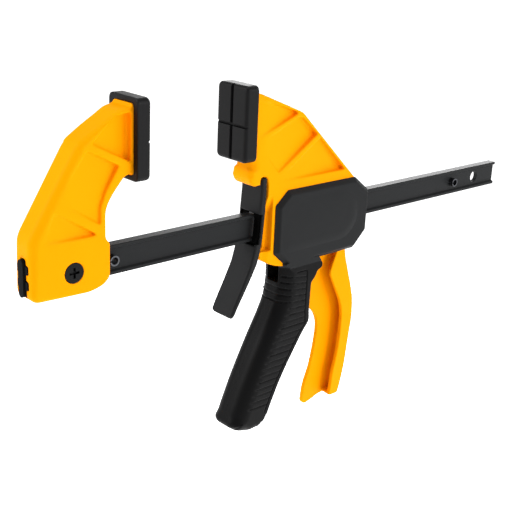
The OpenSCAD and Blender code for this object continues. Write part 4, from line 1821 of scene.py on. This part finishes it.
@dataclass(frozen=True)
class Lamp:
    """A soft square lamp that faces the clamp: its place and side in metres, and its watts."""

    name: str
    place: Corner
    side: float
    power: float
    aim: Corner = (-0.2, 0.0, 0.0)

    def hang(self) -> None:
        """Adds the lamp to the scene."""
        bpy.ops.object.light_add(type="AREA", location=self.place)
        lamp = bpy.context.object
        lamp.name = self.name
        lamp.data.size = self.side
        lamp.data.energy = self.power
        way = Vector(self.aim) - Vector(self.place)
        lamp.rotation_euler = way.to_track_quat("-Z", "Y").to_euler()


@dataclass
class Studio:
    """A pale floor, soft light and the camera."""

    camera_place: Corner = (-574.1, -399.9, 169.5)
    # The camera's own axes to the right and upwards
    right: Corner = (0.7435, -0.6675, 0.0419)
    up: Corner = (0.1893, 0.2701, 0.9440)
    focal_px: float = 990.48
    frame_px: float = 512.0
    sensor: float = 36.0
    clip_ends: Point = (0.01, 100.0)
    # The floor's height in millimetres, and its side in metres
    floor_drop: float = -620.0
    floor_side: float = 60.0
    floor_roughness: float = 0.9
    # The floor glows a little, so that it stays pale and lights the clamp from below
    floor_glow: float = 0.72
    sky_strength: float = 0.52
    lamps: Tuple[Lamp, ...] = (
        Lamp("right_key_lamp", (0.95, -1.5, 0.75), 1.2, 16.0),
        Lamp("front_lamp", (0.4, -1.8, 0.28), 0.7, 12.0),
        Lamp("left_key_lamp", (-1.75, 0.75, 0.75), 1.2, 28.0),
        Lamp("back_lamp", (1.1, 0.98, 0.42), 1.0, 20.0),
        Lamp("top_lamp", (-0.2, 0.1, 1.8), 1.2, 16.0),
    )

    def _camera(self) -> None:
        """Sets the camera at its place."""
        lens = bpy.data.cameras.new("camera")
        lens.sensor_width = self.sensor
        lens.lens = self.focal_px * self.sensor / self.frame_px
        lens.clip_start, lens.clip_end = self.clip_ends
        right = Vector(self.right).normalized()
        up = Vector(self.up)
        up = (up - up.dot(right) * right).normalized()
        back = right.cross(up)
        camera = bpy.data.objects.new("camera", lens)
        bpy.context.scene.collection.objects.link(camera)
        turn = Matrix((right, up, back)).transposed().to_4x4()
        place = Matrix.Translation(Vector(self.camera_place) / MM_PER_METRE)
        camera.matrix_world = place @ turn
        bpy.context.scene.camera = camera

    def _floor(self) -> None:
        """Lays the plain floor."""
        bpy.ops.object.select_all(action="DESELECT")
        place = (0, 0, metres(self.floor_drop))
        bpy.ops.mesh.primitive_plane_add(size=self.floor_side, location=place)
        floor = bpy.context.object
        floor.name = "studio_floor"
        material = bpy.data.materials.new("matt_white_floor")
        material.use_nodes = True
        shader = material.node_tree.nodes["Principled BSDF"]
        shader.inputs["Base Color"].default_value = linear("#F6F6F6")
        shader.inputs["Roughness"].default_value = self.floor_roughness
        shader.inputs["Emission Color"].default_value = linear("#FFFFFF")
        shader.inputs["Emission Strength"].default_value = self.floor_glow
        floor.data.materials.append(material)

    def build(self) -> None:
        """Sets up the floor, lamps, surroundings and camera."""
        self._camera()
        self._floor()
        for lamp in self.lamps:
            lamp.hang()
        scene = bpy.context.scene
        world = bpy.data.worlds.new("white_room")
        world.use_nodes = True
        sky = world.node_tree.nodes["Background"]
        sky.inputs["Color"].default_value = linear("#FFFFFF")
        sky.inputs["Strength"].default_value = self.sky_strength
        scene.world = world
        scene.view_settings.view_transform = "Standard"


def main() -> None:
    """Builds the studio and the clamp."""
    logging.basicConfig(level=logging.INFO, format="%(message)s")
    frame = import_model()
    Studio().build()
    for group in (Bar(), FixedJaw(), MovingJaw(), Shells(), Trigger(), ReleaseLever(), Mechanism()):
        group.build(frame["nodes"])
        LOG.info("%s done", type(group).__name__)


if __name__ == "__main__":
    main()
